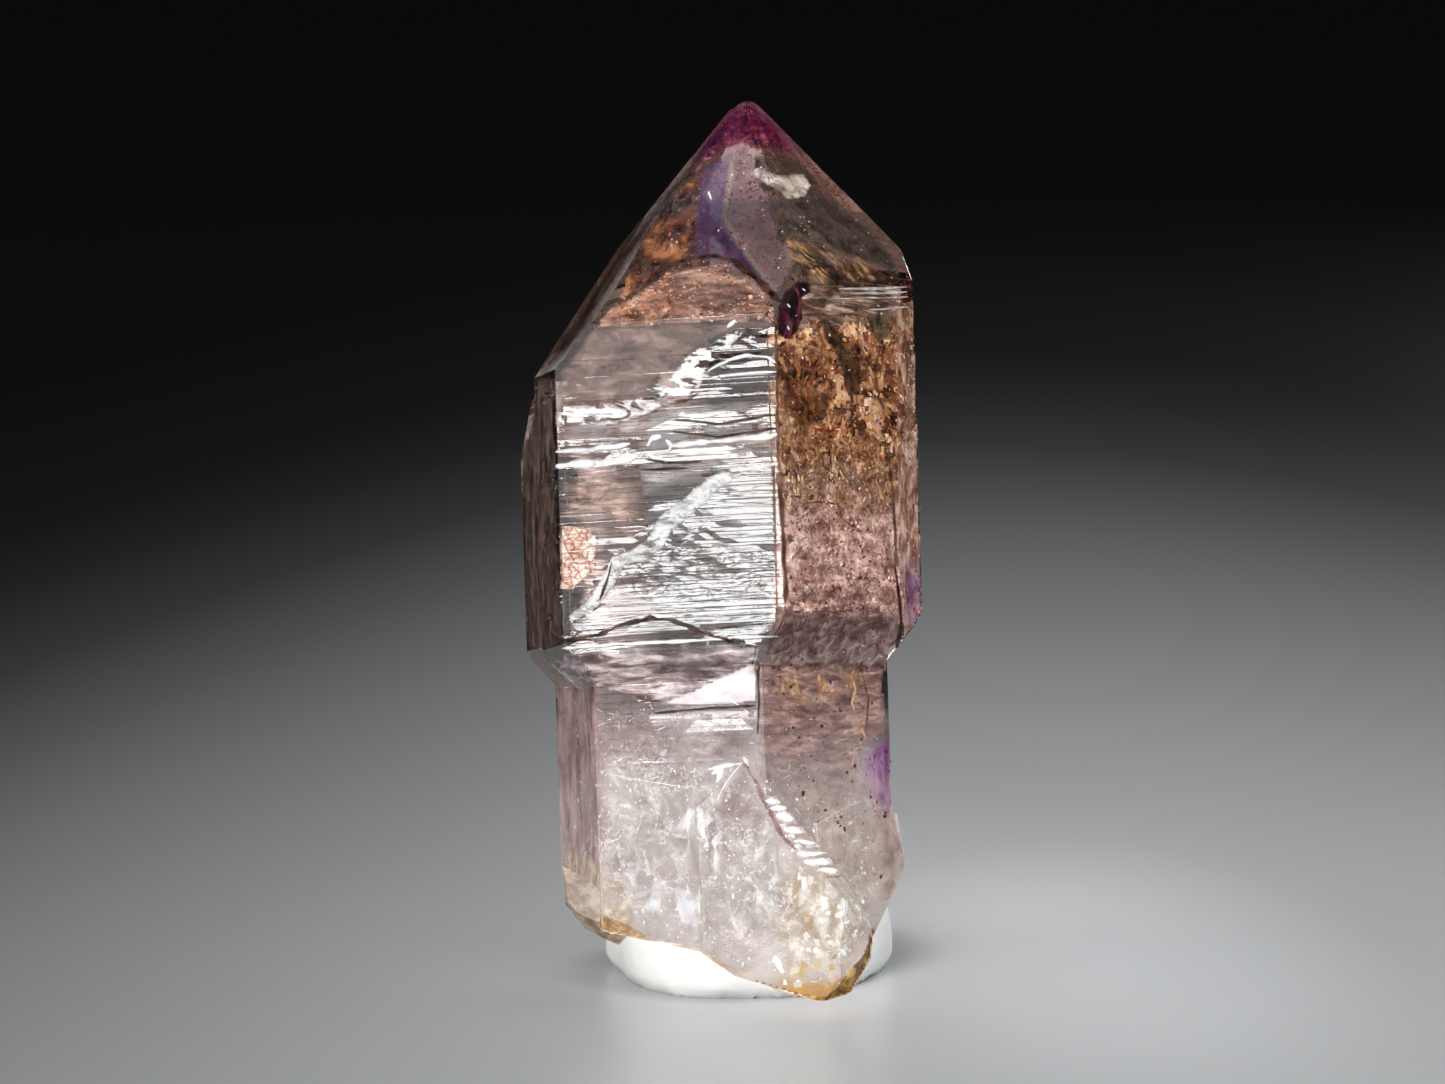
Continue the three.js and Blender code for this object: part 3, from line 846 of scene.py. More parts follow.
def inclusion_material(name, colours, roughness, specular=0.5):
    """A material whose colour runs through the given ones from piece to piece, with a faint mottle."""
    material, shader, add, link = new_material(name)
    shade = add("ShaderNodeAttribute", attribute_name="shade")
    place = add("ShaderNodeTexCoord")
    mottle = add("ShaderNodeTexNoise", Scale=4000.0, Detail=2.0)
    link(place.outputs["Object"], mottle.inputs["Vector"])
    both = add("ShaderNodeMath", operation="MULTIPLY_ADD")
    link(mottle.outputs["Fac"], both.inputs[0])
    both.inputs[1].default_value = 0.3
    link(shade.outputs["Fac"], both.inputs[2])
    share = add("ShaderNodeMath", operation="SUBTRACT")
    link(both.outputs["Value"], share.inputs[0])
    share.inputs[1].default_value = 0.15
    link(colour_steps(add, link, share.outputs["Value"], colours), shader.inputs["Base Color"])
    shader.inputs["Roughness"].default_value = roughness
    shader.inputs["Specular IOR Level"].default_value = specular
    return material


def tilted(normals, spread, rng):
    """Directions spread at random around the normals."""
    return unit(normals + rng.normal(0, spread, normals.shape))


def make_rust_flakes(inside):
    """Small red-brown flakes, most of them in the head's upper right."""
    rng = np.random.default_rng(11)
    places = []
    while len(places) < RUST_FLAKES["count"]:
        point = rng.uniform((-9, -9, 3), (10, 9, 45))
        right, high = ramp(point[0], 0, 4), ramp(point[2], 19, 25)
        wanted = 0.03 + 0.75 * right * high + 0.35 * ramp(point[2], 33, 36) + 0.3 * right * ramp(point[2], 14, 18)
        if rng.uniform() > wanted:
            continue
        depth = inside.depth(point)
        if 0.2 < depth < 4.5 and rng.uniform() < 1.2 - depth / 4:
            places.append(point)
    places = np.array(places)
    normals = tilted(np.tile(outward(0, 0), (len(places), 1)), 0.8, rng)
    widths = rng.uniform(*RUST_FLAKES["size"], len(places))
    heights = widths * rng.uniform(0.5, 1.4, len(places))
    upward = rng.normal(size=places.shape)
    piece = plates("rust_flakes", places, normals, upward, widths, heights, RUST_FLAKES["thickness"], 5, rng)
    piece.data.materials.append(inclusion_material("rust_red", [(0.05, 0.004, 0.004), (0.22, 0.03, 0.02)], 0.3))


def make_flecks(inside, name, flecks, seed):
    """One kind of flecks close under the surface."""
    rng = np.random.default_rng(seed)
    places, normals = places_under(inside, flecks["outline"], flecks["count"], flecks["depths"], rng)
    low, high = flecks["size"]
    widths = low + (high - low) * rng.uniform(0, 1, len(places)) ** 2
    heights = widths * rng.uniform(*flecks["aspect"], len(places))
    upward = np.array([0, 0, 1.0]) + rng.normal(0, 0.35, places.shape)
    patches = smooth_noise(places, (1.3, 1.3, 1.1), seed) - 0.5
    shades = np.clip(0.5 + 1.1 * patches + 0.6 * rng.uniform(-0.5, 0.5, len(places)), 0, 1)
    piece = plates(name, places, tilted(normals, flecks["tilt"], rng), upward, widths, heights,
                   FLECK_THICKNESS_MM, 4, rng, shades)
    specular = SURFACE_MARK_SPECULAR if flecks["depths"][0] < 0 else 0.5
    piece.data.materials.append(inclusion_material(name, flecks["colours"], flecks["shine"], specular))
    piece.visible_shadow = False


# Veils: thin uneven sheets under the surface. Each is an outline in pixels of the photograph. depth and
# relief are in mm. stretch counts the pattern's blotches in a mm along each of the crystal's axes, and
# the colours run from dark to pale over the pattern. cover is how opaque the sheet is, at least and most.
# turn tilts the pattern to the right, in degrees. fade_rows are the rows of pixels where it ends and is full.
# A depth below 0 puts the sheet on the surface, as a stain or as painted shade. grid is the distance between the
# sheet's points in pixels, and border is over how many of them the sheet fades beside its gaps.
# Specular level of marks on the surface: stains, painted shade and painted highlights.
SURFACE_MARK_SPECULAR = 0.12
VEIL_USUAL = {
    "depth": 0.6, "relief": 0.3, "kind": "noise", "stretch": (0.8, 0.8, 0.8), "detail": 7.0, "bend": 0.6,
    "contrast": (0.34, 0.66), "cover": (0.5, 1.0), "cover_kind": "noise", "cover_stretch": (0.7, 0.7, 0.7),
    "cover_contrast": (0.36, 0.6), "edge": 9, "shine": 0.35, "bump": 0.5, "turn": 0, "fade_rows": (0, 0),
    "grid": 3, "border": 0,
}
VEILS = {
    "purple_tip": {
        "outline": [(742, 100), (757, 104), (779, 128), (800, 151), (786, 150), (768, 144), (757, 150), (742, 141),
                    (720, 150), (702, 165), (684, 180), (692, 158), (712, 128), (726, 108)],
        "grid": 2, "depth": 0.4, "stretch": (2.2, 2.2, 2.2), "cover": (0.8, 1.0), "edge": 4,
        "colours": [(0.012, 0.001, 0.008), (0.085, 0.006, 0.045), (0.17, 0.03, 0.035), (0.42, 0.17, 0.13)],
    },
    "tip_shadow": {
        "outline": [(742, 102), (750, 112), (738, 136), (722, 146), (700, 164), (684, 178), (694, 154), (714, 126)],
        "grid": 2, "depth": 0.25, "relief": 0.1, "stretch": (1.6, 1.6, 1.6), "cover": (0.2, 0.95),
        "cover_stretch": (1.1, 1.1, 1.1), "edge": 6,
        "colours": [(0.012, 0.001, 0.008), (0.05, 0.004, 0.035), (0.11, 0.012, 0.07)],
    },
    "violet_window": {
        "outline": [(698, 168), (722, 149), (734, 146), (730, 175), (724, 215), (745, 250), (772, 285), (757, 276),
                    (735, 262), (690, 258)],
        "grid": 2, "depth": 0.5, "relief": 0.05, "stretch": (0.4, 0.4, 0.4), "cover": (0.6, 0.85), "edge": 5, "bump": 0.1,
        "colours": [(0.034, 0.018, 0.066), (0.085, 0.052, 0.13)],
    },
    "grey_window": {
        "outline": [(728, 150), (742, 142), (752, 149), (775, 198), (793, 278), (772, 284), (745, 250), (722, 215),
                    (728, 175)],
        "grid": 2, "depth": 0.45, "relief": 0.05, "stretch": (0.4, 0.4, 0.4), "cover": (0.4, 0.7), "edge": 5, "bump": 0.1,
        "colours": [(0.048, 0.026, 0.048), (0.105, 0.066, 0.092)],
    },
    "purple_wedge": {
        "outline": [(695, 206), (708, 208), (722, 222), (745, 250), (776, 292), (765, 286), (738, 264), (724, 256),
                    (712, 236), (696, 230)],
        "grid": 2, "depth": 0.35, "relief": 0.1, "stretch": (0.5, 0.5, 0.5), "cover": (0.7, 0.95), "edge": 5, "bump": 0.1,
        "colours": [(0.016, 0.0048, 0.028), (0.056, 0.02, 0.08)],
    },
    "brown_side": {
        "outline": [(697, 169), (693, 215), (687, 258), (662, 270), (640, 286), (612, 302), (640, 235), (664, 200),
                    (684, 178)],
        "depth": 0.5, "relief": 0.5, "stretch": (0.7, 0.7, 0.6), "bend": 0.4, "cover": (0.85, 1.0), "edge": 4,
        "colours": [(0.008, 0.002, 0.001), (0.048, 0.010, 0.003), (0.14, 0.046, 0.013), (0.36, 0.17, 0.08)],
    },
    "copper_band": {
        "outline": [(590, 323), (612, 300), (640, 286), (662, 270), (690, 260), (725, 260), (742, 268), (776, 300),
                    (777, 318), (700, 321)],
        "depth": 0.55, "relief": 0.4, "stretch": (0.45, 0.45, 1.8), "bend": 0.8, "cover": (0.7, 1.0), "edge": 3,
        "colours": [(0.0675, 0.0338, 0.03), (0.18, 0.105, 0.09), (0.315, 0.188, 0.143), (0.6, 0.45, 0.375)],
    },
    "copper_swirl": {
        "outline": [(594, 322), (612, 300), (645, 282), (668, 272), (676, 300), (668, 321)],
        "depth": 0.4, "relief": 0.6, "stretch": (0.9, 0.9, 1.1), "bend": 0.9, "cover": (0.2, 1.0), "edge": 8,
        "colours": [(0.0546, 0.0195, 0.00936), (0.265, 0.109, 0.0546), (0.515, 0.281, 0.172), (0.78, 0.624, 0.515)],
    },
    # Painted shade: a near-black stain along the crystal's upper left slope, for the dark that this slope shows.
    "painted_shade_slope": {
        "outline": [(704, 140), (694, 177), (668, 207), (646, 239), (618, 283), (593, 324), (569, 355),
                    (550, 374), (528, 384), (548, 336), (600, 258), (650, 186), (690, 134)],
        "grid": 2, "depth": -0.01, "relief": 0.0, "stretch": (1.2, 1.2, 0.8), "cover": (0.75, 0.95), "edge": 4,
        "bump": 0.1, "border": 2, "colours": [(0.004, 0.002, 0.001), (0.014, 0.008, 0.005), (0.05, 0.028, 0.018)],
    },
    "smoky_slope": {
        "outline": [(757, 150), (770, 146), (786, 150), (804, 156), (850, 202), (897, 249), (908, 278), (880, 264),
                    (830, 248), (786, 236), (777, 200)],
        "depth": 0.9, "relief": 0.4, "stretch": (0.5, 0.9, 1.6), "turn": 35, "cover": (0.6, 0.95), "edge": 6,
        "colours": [(0.0036, 0.0024, 0.0012), (0.0156, 0.012, 0.0084), (0.06, 0.051, 0.036)],
    },
    "golden_veil": {
        "outline": [(780, 232), (800, 230), (832, 240), (868, 256), (904, 286), (864, 288), (795, 284), (786, 262)],
        "depth": 0.5, "relief": 0.5, "stretch": (0.4, 1.0, 3.2), "turn": 38, "bend": 0.5, "cover": (0.1, 1.0),
        "cover_stretch": (0.6, 0.7, 2.0), "edge": 8,
        "colours": [(0.0084, 0.0042, 0.0014), (0.056, 0.0315, 0.0105), (0.21, 0.126, 0.049), (0.595, 0.42, 0.224)],
    },
    "white_veil": {
        "outline": [(746, 172), (756, 164), (768, 166), (780, 174), (792, 172), (806, 171), (814, 184), (807, 197),
                    (788, 200), (776, 190), (760, 180)],
        "grid": 2, "depth": 0.2, "relief": 0.3, "stretch": (1.6, 1.6, 1.6), "cover": (0.75, 1.0), "edge": 4,
        "colours": [(0.255, 0.23, 0.212), (0.637, 0.603, 0.578), (0.85, 0.833, 0.816)],
    },
    "clear_corner": {
        "outline": [(556, 372), (592, 324), (700, 322), (776, 318), (776, 332), (735, 330), (698, 346), (668, 370),
                    (640, 392), (600, 402), (556, 410)],
        "depth": 0.6, "relief": 0.4, "stretch": (0.6, 0.6, 1.2), "cover": (0.7, 0.97), "edge": 6,
        "colours": [(0.064, 0.028, 0.0208), (0.144, 0.08, 0.064), (0.24, 0.16, 0.132)],
    },
    "upper_suture": {
        "outline": [(555, 428), (555, 404), (608, 402), (640, 395), (668, 378), (684, 356), (708, 339), (738, 328),
                    (748, 331), (722, 356), (707, 370), (701, 390), (674, 404), (650, 416), (608, 427)],
        "depth": 0.05, "relief": 0.05, "stretch": (1.4, 1.4, 2.6), "bend": 0.8, "cover": (0.0, 0.95),
        "cover_stretch": (0.9, 0.9, 2.0), "cover_contrast": (0.44, 0.52), "edge": 5,
        "colours": [(0.55, 0.53, 0.52), (0.95, 0.94, 0.94), (1.0, 1.0, 1.0)],
    },
    "lower_suture": {
        "outline": [(750, 464), (742, 477), (718, 492), (698, 511), (674, 530), (664, 550), (646, 562), (626, 566),
                    (612, 592), (596, 610), (572, 624), (566, 616), (588, 598), (604, 572), (612, 554), (630, 549),
                    (646, 539), (658, 516), (684, 496), (708, 476), (736, 464)],
        "grid": 2, "depth": -0.02, "relief": 0.0, "stretch": (1.4, 1.4, 2.2), "bend": 0.8, "cover": (0.2, 1.0),
        "cover_stretch": (0.9, 0.9, 1.8), "cover_contrast": (0.38, 0.48), "edge": 4,
        "colours": [(0.55, 0.53, 0.52), (0.95, 0.94, 0.94), (1.0, 1.0, 1.0)],
    },
    "grey_middle": {
        "outline": [(660, 404), (776, 398), (779, 456), (779, 470), (700, 472), (640, 500), (640, 456), (672, 446)],
        "depth": 0.3, "relief": 0.05, "stretch": (0.2, 0.2, 3.0), "cover": (0.25, 0.75), "edge": 8, "bump": 0.1,
        "colours": [(0.06, 0.055, 0.055), (0.20, 0.18, 0.18), (0.42, 0.39, 0.38)],
    },
    "brown_bands": {
        "outline": [(556, 424), (640, 412), (664, 404), (668, 422), (656, 436), (620, 438), (556, 448)],
        "depth": 0.3, "relief": 0.1, "stretch": (0.3, 0.3, 2.6), "cover": (0.5, 0.9), "edge": 10, "bump": 0.1,
        "colours": [(0.05, 0.03, 0.028), (0.15, 0.10, 0.09), (0.34, 0.26, 0.24)],
    },
    "front_lines": {
        "outline": [(557, 414), (640, 404), (776, 372), (779, 470), (783, 560), (786, 610), (770, 644), (566, 648),
                    (560, 560)],
        "depth": -0.02, "relief": 0.0, "stretch": (0.3, 0.3, 1.0), "cover": (0.55, 0.0),
        "cover_kind": "lines", "cover_stretch": (0.18, 0.18, 3.6), "cover_contrast": (0.006, 0.026), "edge": 6,
        "bump": 0.0, "colours": [(0.03, 0.026, 0.024), (0.13, 0.11, 0.10)],
    },
    "pebbles": {
        "outline": [(640, 548), (700, 540), (778, 548), (783, 600), (740, 606), (640, 604), (606, 606), (616, 576)],
        "depth": -0.02, "relief": 0.0, "stretch": (0.5, 0.5, 0.8), "cover": (0.7, 0.0), "cover_kind": "lines",
        "cover_stretch": (1.3, 1.3, 2.8), "cover_contrast": (0.006, 0.03), "edge": 8, "bump": 0.0,
        "colours": [(0.08, 0.075, 0.07), (0.24, 0.22, 0.21)],
    },
    "copper_streak": {
        "outline": [(557, 480), (598, 473), (640, 480), (641, 540), (616, 548), (604, 524), (580, 522), (557, 520)],
        "depth": 0.35, "relief": 0.2, "stretch": (0.9, 0.9, 1.8), "cover": (0.45, 0.95), "edge": 18,
        "colours": [(0.10, 0.06, 0.05), (0.32, 0.21, 0.17), (0.58, 0.42, 0.34)],
    },
    "copper_patch": {
        "outline": [(559, 523), (582, 524), (598, 534), (597, 556), (588, 578), (576, 590), (559, 592)],
        "depth": 0.15, "relief": 0.15, "kind": "cells", "stretch": (2.2, 2.2, 2.2), "cover": (0.9, 1.0), "edge": 3,
        "colours": [(0.16, 0.03, 0.012), (0.72, 0.44, 0.34), (0.95, 0.72, 0.60), (1.0, 0.92, 0.84)],
    },
    "striped_top": {
        "outline": [(800, 284), (906, 282), (910, 320), (852, 326), (800, 330)],
        "depth": 0.5, "relief": 0.3, "stretch": (0.5, 0.5, 3.2), "bend": 0.5, "cover": (0.7, 1.0), "edge": 5,
        "colours": [(0.03, 0.018, 0.012), (0.15, 0.10, 0.075), (0.36, 0.28, 0.22), (0.85, 0.8, 0.74)],
    },
    "smoky_blocks": {
        "outline": [(800, 310), (908, 305), (914, 400), (917, 530), (782, 530), (779, 400), (779, 330)],
        "depth": 0.65, "relief": 0.5, "kind": "noise", "stretch": (0.75, 0.75, 0.8), "detail": 9.0, "bend": 1.2,
        "cover": (0.9, 1.0), "edge": 5, "fade_rows": (530, 440),
        "colours": [(0.014, 0.005, 0.002), (0.09, 0.028, 0.012), (0.26, 0.12, 0.05), (0.55, 0.33, 0.17),
                    (1.0, 0.74, 0.5)],
    },
    "mauve_lines": {
        "outline": [(782, 400), (913, 400), (917, 560), (920, 622), (902, 660), (788, 662), (776, 636), (786, 560)],
        "depth": 0.8, "relief": 0.4, "stretch": (1.1, 1.1, 1.3), "detail": 9.0, "bend": 0.5,
        "contrast": (0.3, 0.7), "cover": (0.9, 1.0), "edge": 5,
        "colours": [(0.15, 0.065, 0.045), (0.39, 0.225, 0.18), (0.60, 0.40, 0.33), (0.82, 0.61, 0.51),
                    (1.0, 0.86, 0.77)],
    },
    "dark_corner": {
        "outline": [(776, 334), (777, 306), (783, 292), (796, 281), (810, 281), (811, 293), (802, 300), (804, 318),
                    (797, 334), (786, 342)],
        "grid": 2, "depth": -0.02, "relief": 0.0, "contrast": (0.4, 0.66), "stretch": (1.6, 1.6, 1.2),
        "cover": (0.95, 1.0), "edge": 2, "bump": 0.3, "shine": 0.6,
        "colours": [(0.005, 0.001, 0.002), (0.016, 0.002, 0.005), (0.05, 0.005, 0.014), (0.15, 0.03, 0.06)],
    },
    "olive_diagonal": {
        "outline": [(816, 314), (830, 318), (846, 342), (860, 362), (862, 396), (848, 398), (840, 366), (824, 340)],
        "grid": 2, "depth": -0.01, "relief": 0.0, "contrast": (0.3, 0.6), "stretch": (1.6, 1.6, 1.6),
        "cover": (0.75, 1.0), "edge": 4, "bump": 0.3,
        "colours": [(0.004, 0.002, 0.001), (0.022, 0.010, 0.003), (0.10, 0.05, 0.02)],
    },
    "olive_block": {
        "outline": [(864, 312), (880, 306), (894, 312), (895, 338), (878, 344), (868, 332)],
        "grid": 2, "depth": -0.01, "relief": 0.0, "contrast": (0.3, 0.6), "stretch": (1.8, 1.8, 1.0),
        "cover": (0.6, 1.0), "edge": 4, "bump": 0.3,
        "colours": [(0.006, 0.004, 0.002), (0.03, 0.020, 0.009), (0.13, 0.09, 0.05)],
    },
    "rusty_block": {
        "outline": [(779, 392), (816, 388), (838, 396), (826, 420), (806, 440), (780, 442)],
        "grid": 2, "depth": -0.01, "relief": 0.0, "contrast": (0.3, 0.65), "stretch": (1.4, 1.4, 1.4),
        "cover": (0.3, 0.95), "edge": 6, "bump": 0.3,
        "colours": [(0.010, 0.003, 0.001), (0.05, 0.014, 0.004), (0.20, 0.07, 0.02)],
    },
    "brown_rows": {
        "outline": [(788, 572), (850, 576), (886, 590), (892, 640), (860, 640), (789, 640)],
        "depth": -0.012, "relief": 0.0, "stretch": (0.35, 0.35, 1.9), "contrast": (0.35, 0.65),
        "cover": (0.0, 0.7), "cover_stretch": (0.3, 0.3, 1.3), "cover_contrast": (0.46, 0.62), "edge": 10, "bump": 0.1,
        "colours": [(0.10, 0.035, 0.03), (0.24, 0.12, 0.11)],
    },
    "mauve_threads": {
        "outline": [(784, 440), (880, 440), (893, 480), (897, 640), (790, 642), (784, 560)],
        "depth": -0.015, "relief": 0.0, "contrast": (0.3, 0.7), "cover": (0.75, 0.0), "cover_kind": "lines",
        "cover_stretch": (1.5, 1.5, 1.1), "cover_contrast": (0.006, 0.022), "edge": 8, "bump": 0.0, "bend": 0.9,
        "colours": [(0.09, 0.025, 0.02), (0.22, 0.10, 0.08)],
    },
    "corner_cut": {
        "outline": [(787, 606), (794, 604), (794, 657), (763, 655), (768, 643), (780, 626)],
        "grid": 2, "depth": -0.03, "relief": 0.0, "stretch": (1.5, 1.5, 1.5), "cover": (0.92, 1.0), "edge": 2,
        "colours": [(0.09, 0.035, 0.03), (0.26, 0.155, 0.135), (0.44, 0.31, 0.27)],
    },
    "bevel_top": {
        "outline": [(893, 306), (922, 296), (926, 360), (930, 452), (906, 452), (896, 430), (896, 360)],
        "grid": 2, "depth": -0.01, "relief": 0.0, "contrast": (0.3, 0.7), "stretch": (1.8, 1.8, 1.0),
        "cover": (0.85, 1.0), "edge": 2,
        "bump": 0.3, "colours": [(0.06, 0.02, 0.01), (0.19, 0.085, 0.05), (0.40, 0.24, 0.16), (0.8, 0.6, 0.46)],
    },
    "bevel_streaks": {
        "outline": [(896, 440), (932, 440), (932, 480), (934, 590), (915, 640), (903, 642), (899, 560)],
        "grid": 2, "depth": -0.01, "relief": 0.0, "contrast": (0.3, 0.7), "stretch": (2.4, 2.4, 0.8), "bend": 0.6,
        "cover": (0.85, 1.0), "edge": 2,
        "bump": 0.3, "colours": [(0.12, 0.04, 0.025), (0.33, 0.16, 0.11), (0.56, 0.36, 0.28), (0.88, 0.7, 0.6)],
    },
    "purple_corner": {
        "outline": [(900, 556), (928, 548), (930, 620), (912, 644), (900, 612)],
        "grid": 2, "depth": -0.02, "relief": 0.0, "cover": (0.4, 0.95), "edge": 12, "bump": 0.1,
        "colours": [(0.10, 0.03, 0.12), (0.28, 0.15, 0.30), (0.55, 0.4, 0.56)],
    },
    "brown_edge": {
        "outline": [(536, 378), (552, 374), (556, 460), (557, 560), (567, 650), (556, 670), (530, 656), (520, 600),
                    (519, 460), (529, 420)],
        "depth": 0.25, "relief": 0.1, "stretch": (2.2, 2.2, 0.7), "bend": 0.7, "cover": (0.9, 1.0), "edge": 3,
        "colours": [(0.022, 0.014, 0.011), (0.045, 0.029, 0.023), (0.085, 0.055, 0.045), (0.2, 0.14, 0.11)],
    },
    "under_head": {
        "outline": [(562, 650), (770, 646), (758, 662), (757, 704), (660, 704), (600, 690), (566, 690), (556, 668)],
        "depth": 0.35, "relief": 0.2, "stretch": (0.5, 0.5, 2.4), "cover": (0.5, 0.95), "edge": 5,
        "colours": [(0.07, 0.045, 0.045), (0.28, 0.205, 0.20), (0.55, 0.47, 0.46), (1.0, 0.97, 0.96)],
    },
    "white_triangle": {
        "outline": [(656, 704), (690, 690), (725, 674), (752, 662), (757, 664), (758, 703), (700, 707)],
        "depth": 0.08, "relief": 0.0, "stretch": (0.3, 0.3, 1.6), "cover": (0.75, 1.0), "edge": 3, "bump": 0.1,
        "colours": [(0.72, 0.70, 0.72), (1.0, 1.0, 1.0)],
    },
    "white_band": {
        "outline": [(646, 714), (758, 708), (758, 721), (650, 728)],
        "depth": 0.06, "relief": 0.0, "stretch": (0.3, 0.3, 2.6), "cover": (0.1, 0.8),
        "cover_stretch": (0.4, 0.4, 2.2), "cover_contrast": (0.42, 0.55), "edge": 4, "bump": 0.1,
        "colours": [(0.62, 0.60, 0.60), (1.0, 1.0, 1.0)],
    },
    "stem_shade": {
        "outline": [(600, 722), (757, 722), (757, 764), (742, 758), (716, 770), (690, 790), (640, 786), (604, 760)],
        "depth": -0.01, "relief": 0.0, "stretch": (0.6, 0.6, 1.2), "cover": (0.15, 0.75), "edge": 14,
        "colours": [(0.20, 0.145, 0.135), (0.38, 0.31, 0.295), (0.6, 0.54, 0.52)],
    },
    "mauve_stem": {
        "outline": [(548, 676), (602, 686), (608, 760), (610, 850), (594, 888), (562, 884), (552, 800), (548, 740)],
        "grid": 2, "depth": -0.01, "relief": 0.0, "contrast": (0.2, 0.8), "stretch": (1.1, 1.1, 0.28), "bend": 0.5, "cover": (0.35, 0.8), "edge": 12,
        "colours": [(0.13, 0.07, 0.065), (0.31, 0.19, 0.185), (0.50, 0.34, 0.325), (0.75, 0.6, 0.57)],
    },
    "stem_right": {
        "outline": [(759, 660), (888, 660), (892, 735), (868, 742), (866, 790), (836, 830), (790, 822), (762, 780)],
        "depth": 0.45, "relief": 0.3, "stretch": (0.7, 0.7, 2.6), "contrast": (0.25, 0.75), "cover": (0.6, 0.95),
        "edge": 8, "fade_rows": (832, 740),
        "colours": [(0.10, 0.046, 0.036), (0.29, 0.175, 0.15), (0.48, 0.335, 0.285), (0.76, 0.6, 0.52)],
    },
    "yellow_stain": {
        "outline": [(766, 702), (780, 672), (818, 658), (866, 656), (872, 680), (846, 700), (800, 712)],
        "depth": 0.15, "relief": 0.2, "stretch": (1.4, 1.4, 1.4), "cover": (0.0, 0.75),
        "cover_stretch": (0.9, 0.9, 0.9), "cover_contrast": (0.44, 0.6), "edge": 14,
        "colours": [(0.24, 0.14, 0.06), (0.46, 0.31, 0.15), (0.8, 0.6, 0.35)],
    },
    "warm_stem": {
        "outline": [(772, 790), (800, 772), (862, 792), (888, 830), (900, 880), (884, 908), (850, 870), (800, 850)],
        "depth": -0.012, "relief": 0.0, "stretch": (0.9, 0.9, 0.9), "cover": (0.2, 0.65), "edge": 18, "bump": 0.2,
        "colours": [(0.40, 0.29, 0.24), (0.56, 0.45, 0.38), (0.74, 0.65, 0.57)],
    },
    "purple_stem": {
        "outline": [(860, 748), (900, 726), (902, 810), (886, 814), (868, 804), (859, 782)],
        "grid": 2, "depth": -0.01, "relief": 0.0, "stretch": (1.2, 1.2, 0.4), "cover": (0.5, 0.95), "edge": 12, "bump": 0.1,
        "colours": [(0.14, 0.03, 0.12), (0.27, 0.10, 0.25), (0.44, 0.25, 0.42)],
    },
    "bulge_edge": {
        "outline": [(894, 800), (908, 840), (908, 866), (896, 912), (876, 900), (874, 850), (866, 816), (862, 800)],
        "grid": 2, "depth": -0.01, "relief": 0.0, "stretch": (1.0, 1.0, 0.7), "cover": (0.3, 0.85), "edge": 16, "bump": 0.2,
        "colours": [(0.10, 0.045, 0.04), (0.28, 0.17, 0.14), (0.46, 0.34, 0.29)],
    },
    "cream_corner": {
        "outline": [(786, 850), (850, 850), (886, 880), (872, 930), (858, 966), (830, 992), (780, 984), (762, 930)],
        "depth": -0.012, "relief": 0.0, "stretch": (1.2, 1.2, 0.9), "cover": (0.35, 0.9), "edge": 24,
        "colours": [(0.46, 0.33, 0.20), (0.62, 0.54, 0.44), (0.9, 0.86, 0.78)],
    },
    "left_foot": {
        "outline": [(556, 830), (590, 850), (636, 886), (640, 934), (604, 944), (574, 924), (556, 890)],
        "depth": -0.012, "relief": 0.0, "stretch": (1.2, 1.2, 0.8), "cover": (0.2, 0.75), "edge": 14,
        "colours": [(0.38, 0.25, 0.13), (0.60, 0.47, 0.33), (0.88, 0.8, 0.68)],
    },
    "under_right": {
        "outline": [(766, 652), (788, 628), (789, 611), (897, 610), (904, 638), (921, 626), (926, 632), (908, 668),
                    (880, 674), (770, 666)],
        "grid": 2, "depth": -0.01, "relief": 0.0, "contrast": (0.3, 0.7), "stretch": (1.3, 1.3, 1.6),
        "cover": (0.85, 1.0), "edge": 3, "bump": 0.3,
        "colours": [(0.07, 0.022, 0.02), (0.22, 0.115, 0.105), (0.37, 0.24, 0.215), (0.62, 0.46, 0.43)],
    },
    "rust_rim": {
        "outline": [(870, 926), (884, 932), (880, 960), (860, 992), (850, 1006), (826, 1010), (800, 1004),
                    (760, 990), (730, 974), (760, 980), (800, 992), (824, 996), (838, 985), (848, 968), (860, 958),
                    (866, 944), (868, 934)],
        "grid": 2, "depth": -0.02, "relief": 0.0, "contrast": (0.3, 0.7), "stretch": (1.3, 1.3, 1.3),
        "cover": (0.95, 1.0), "edge": 2, "bump": 0.5,
        "colours": [(0.10, 0.045, 0.008), (0.26, 0.12, 0.022), (0.46, 0.24, 0.05), (0.85, 0.56, 0.24)],
    },
    "rust_foot": {
        "outline": [(600, 912), (630, 924), (644, 932), (660, 940), (650, 948), (622, 948), (596, 930)],
        "grid": 2, "depth": -0.015, "relief": 0.0, "stretch": (1.4, 1.4, 1.4), "cover": (0.35, 0.85), "edge": 3, "bump": 0.3,
        "colours": [(0.24, 0.11, 0.035), (0.42, 0.24, 0.09), (0.65, 0.47, 0.26)],
    },
    "chevron_shade": {
        "outline": [(743, 764), (757, 790), (768, 815), (756, 858), (735, 842), (708, 808)],
        "depth": -0.02, "relief": 0.0, "cover": (0.45, 0.85), "edge": 9,
        "colours": [(0.30, 0.22, 0.20), (0.46, 0.38, 0.36)],
    },
    "mottled_base": {
        "outline": [(604, 752), (740, 766), (770, 820), (800, 870), (790, 960), (700, 930), (620, 905), (596, 880)],
        "depth": -0.01, "relief": 0.0, "contrast": (0.3, 0.7), "stretch": (1.0, 1.0, 0.7), "detail": 9.0, "bend": 0.8,
        "cover": (0.5, 0.95), "cover_stretch": (0.5, 0.5, 0.4), "cover_contrast": (0.42, 0.6), "edge": 16,
        "colours": [(0.36, 0.29, 0.27), (0.50, 0.445, 0.42), (0.62, 0.57, 0.54), (0.95, 0.93, 0.91)],
    },
    "seam_cover": {
        "outline": [(681, 812), (711, 800), (713, 884), (710, 958), (682, 952), (680, 880)],
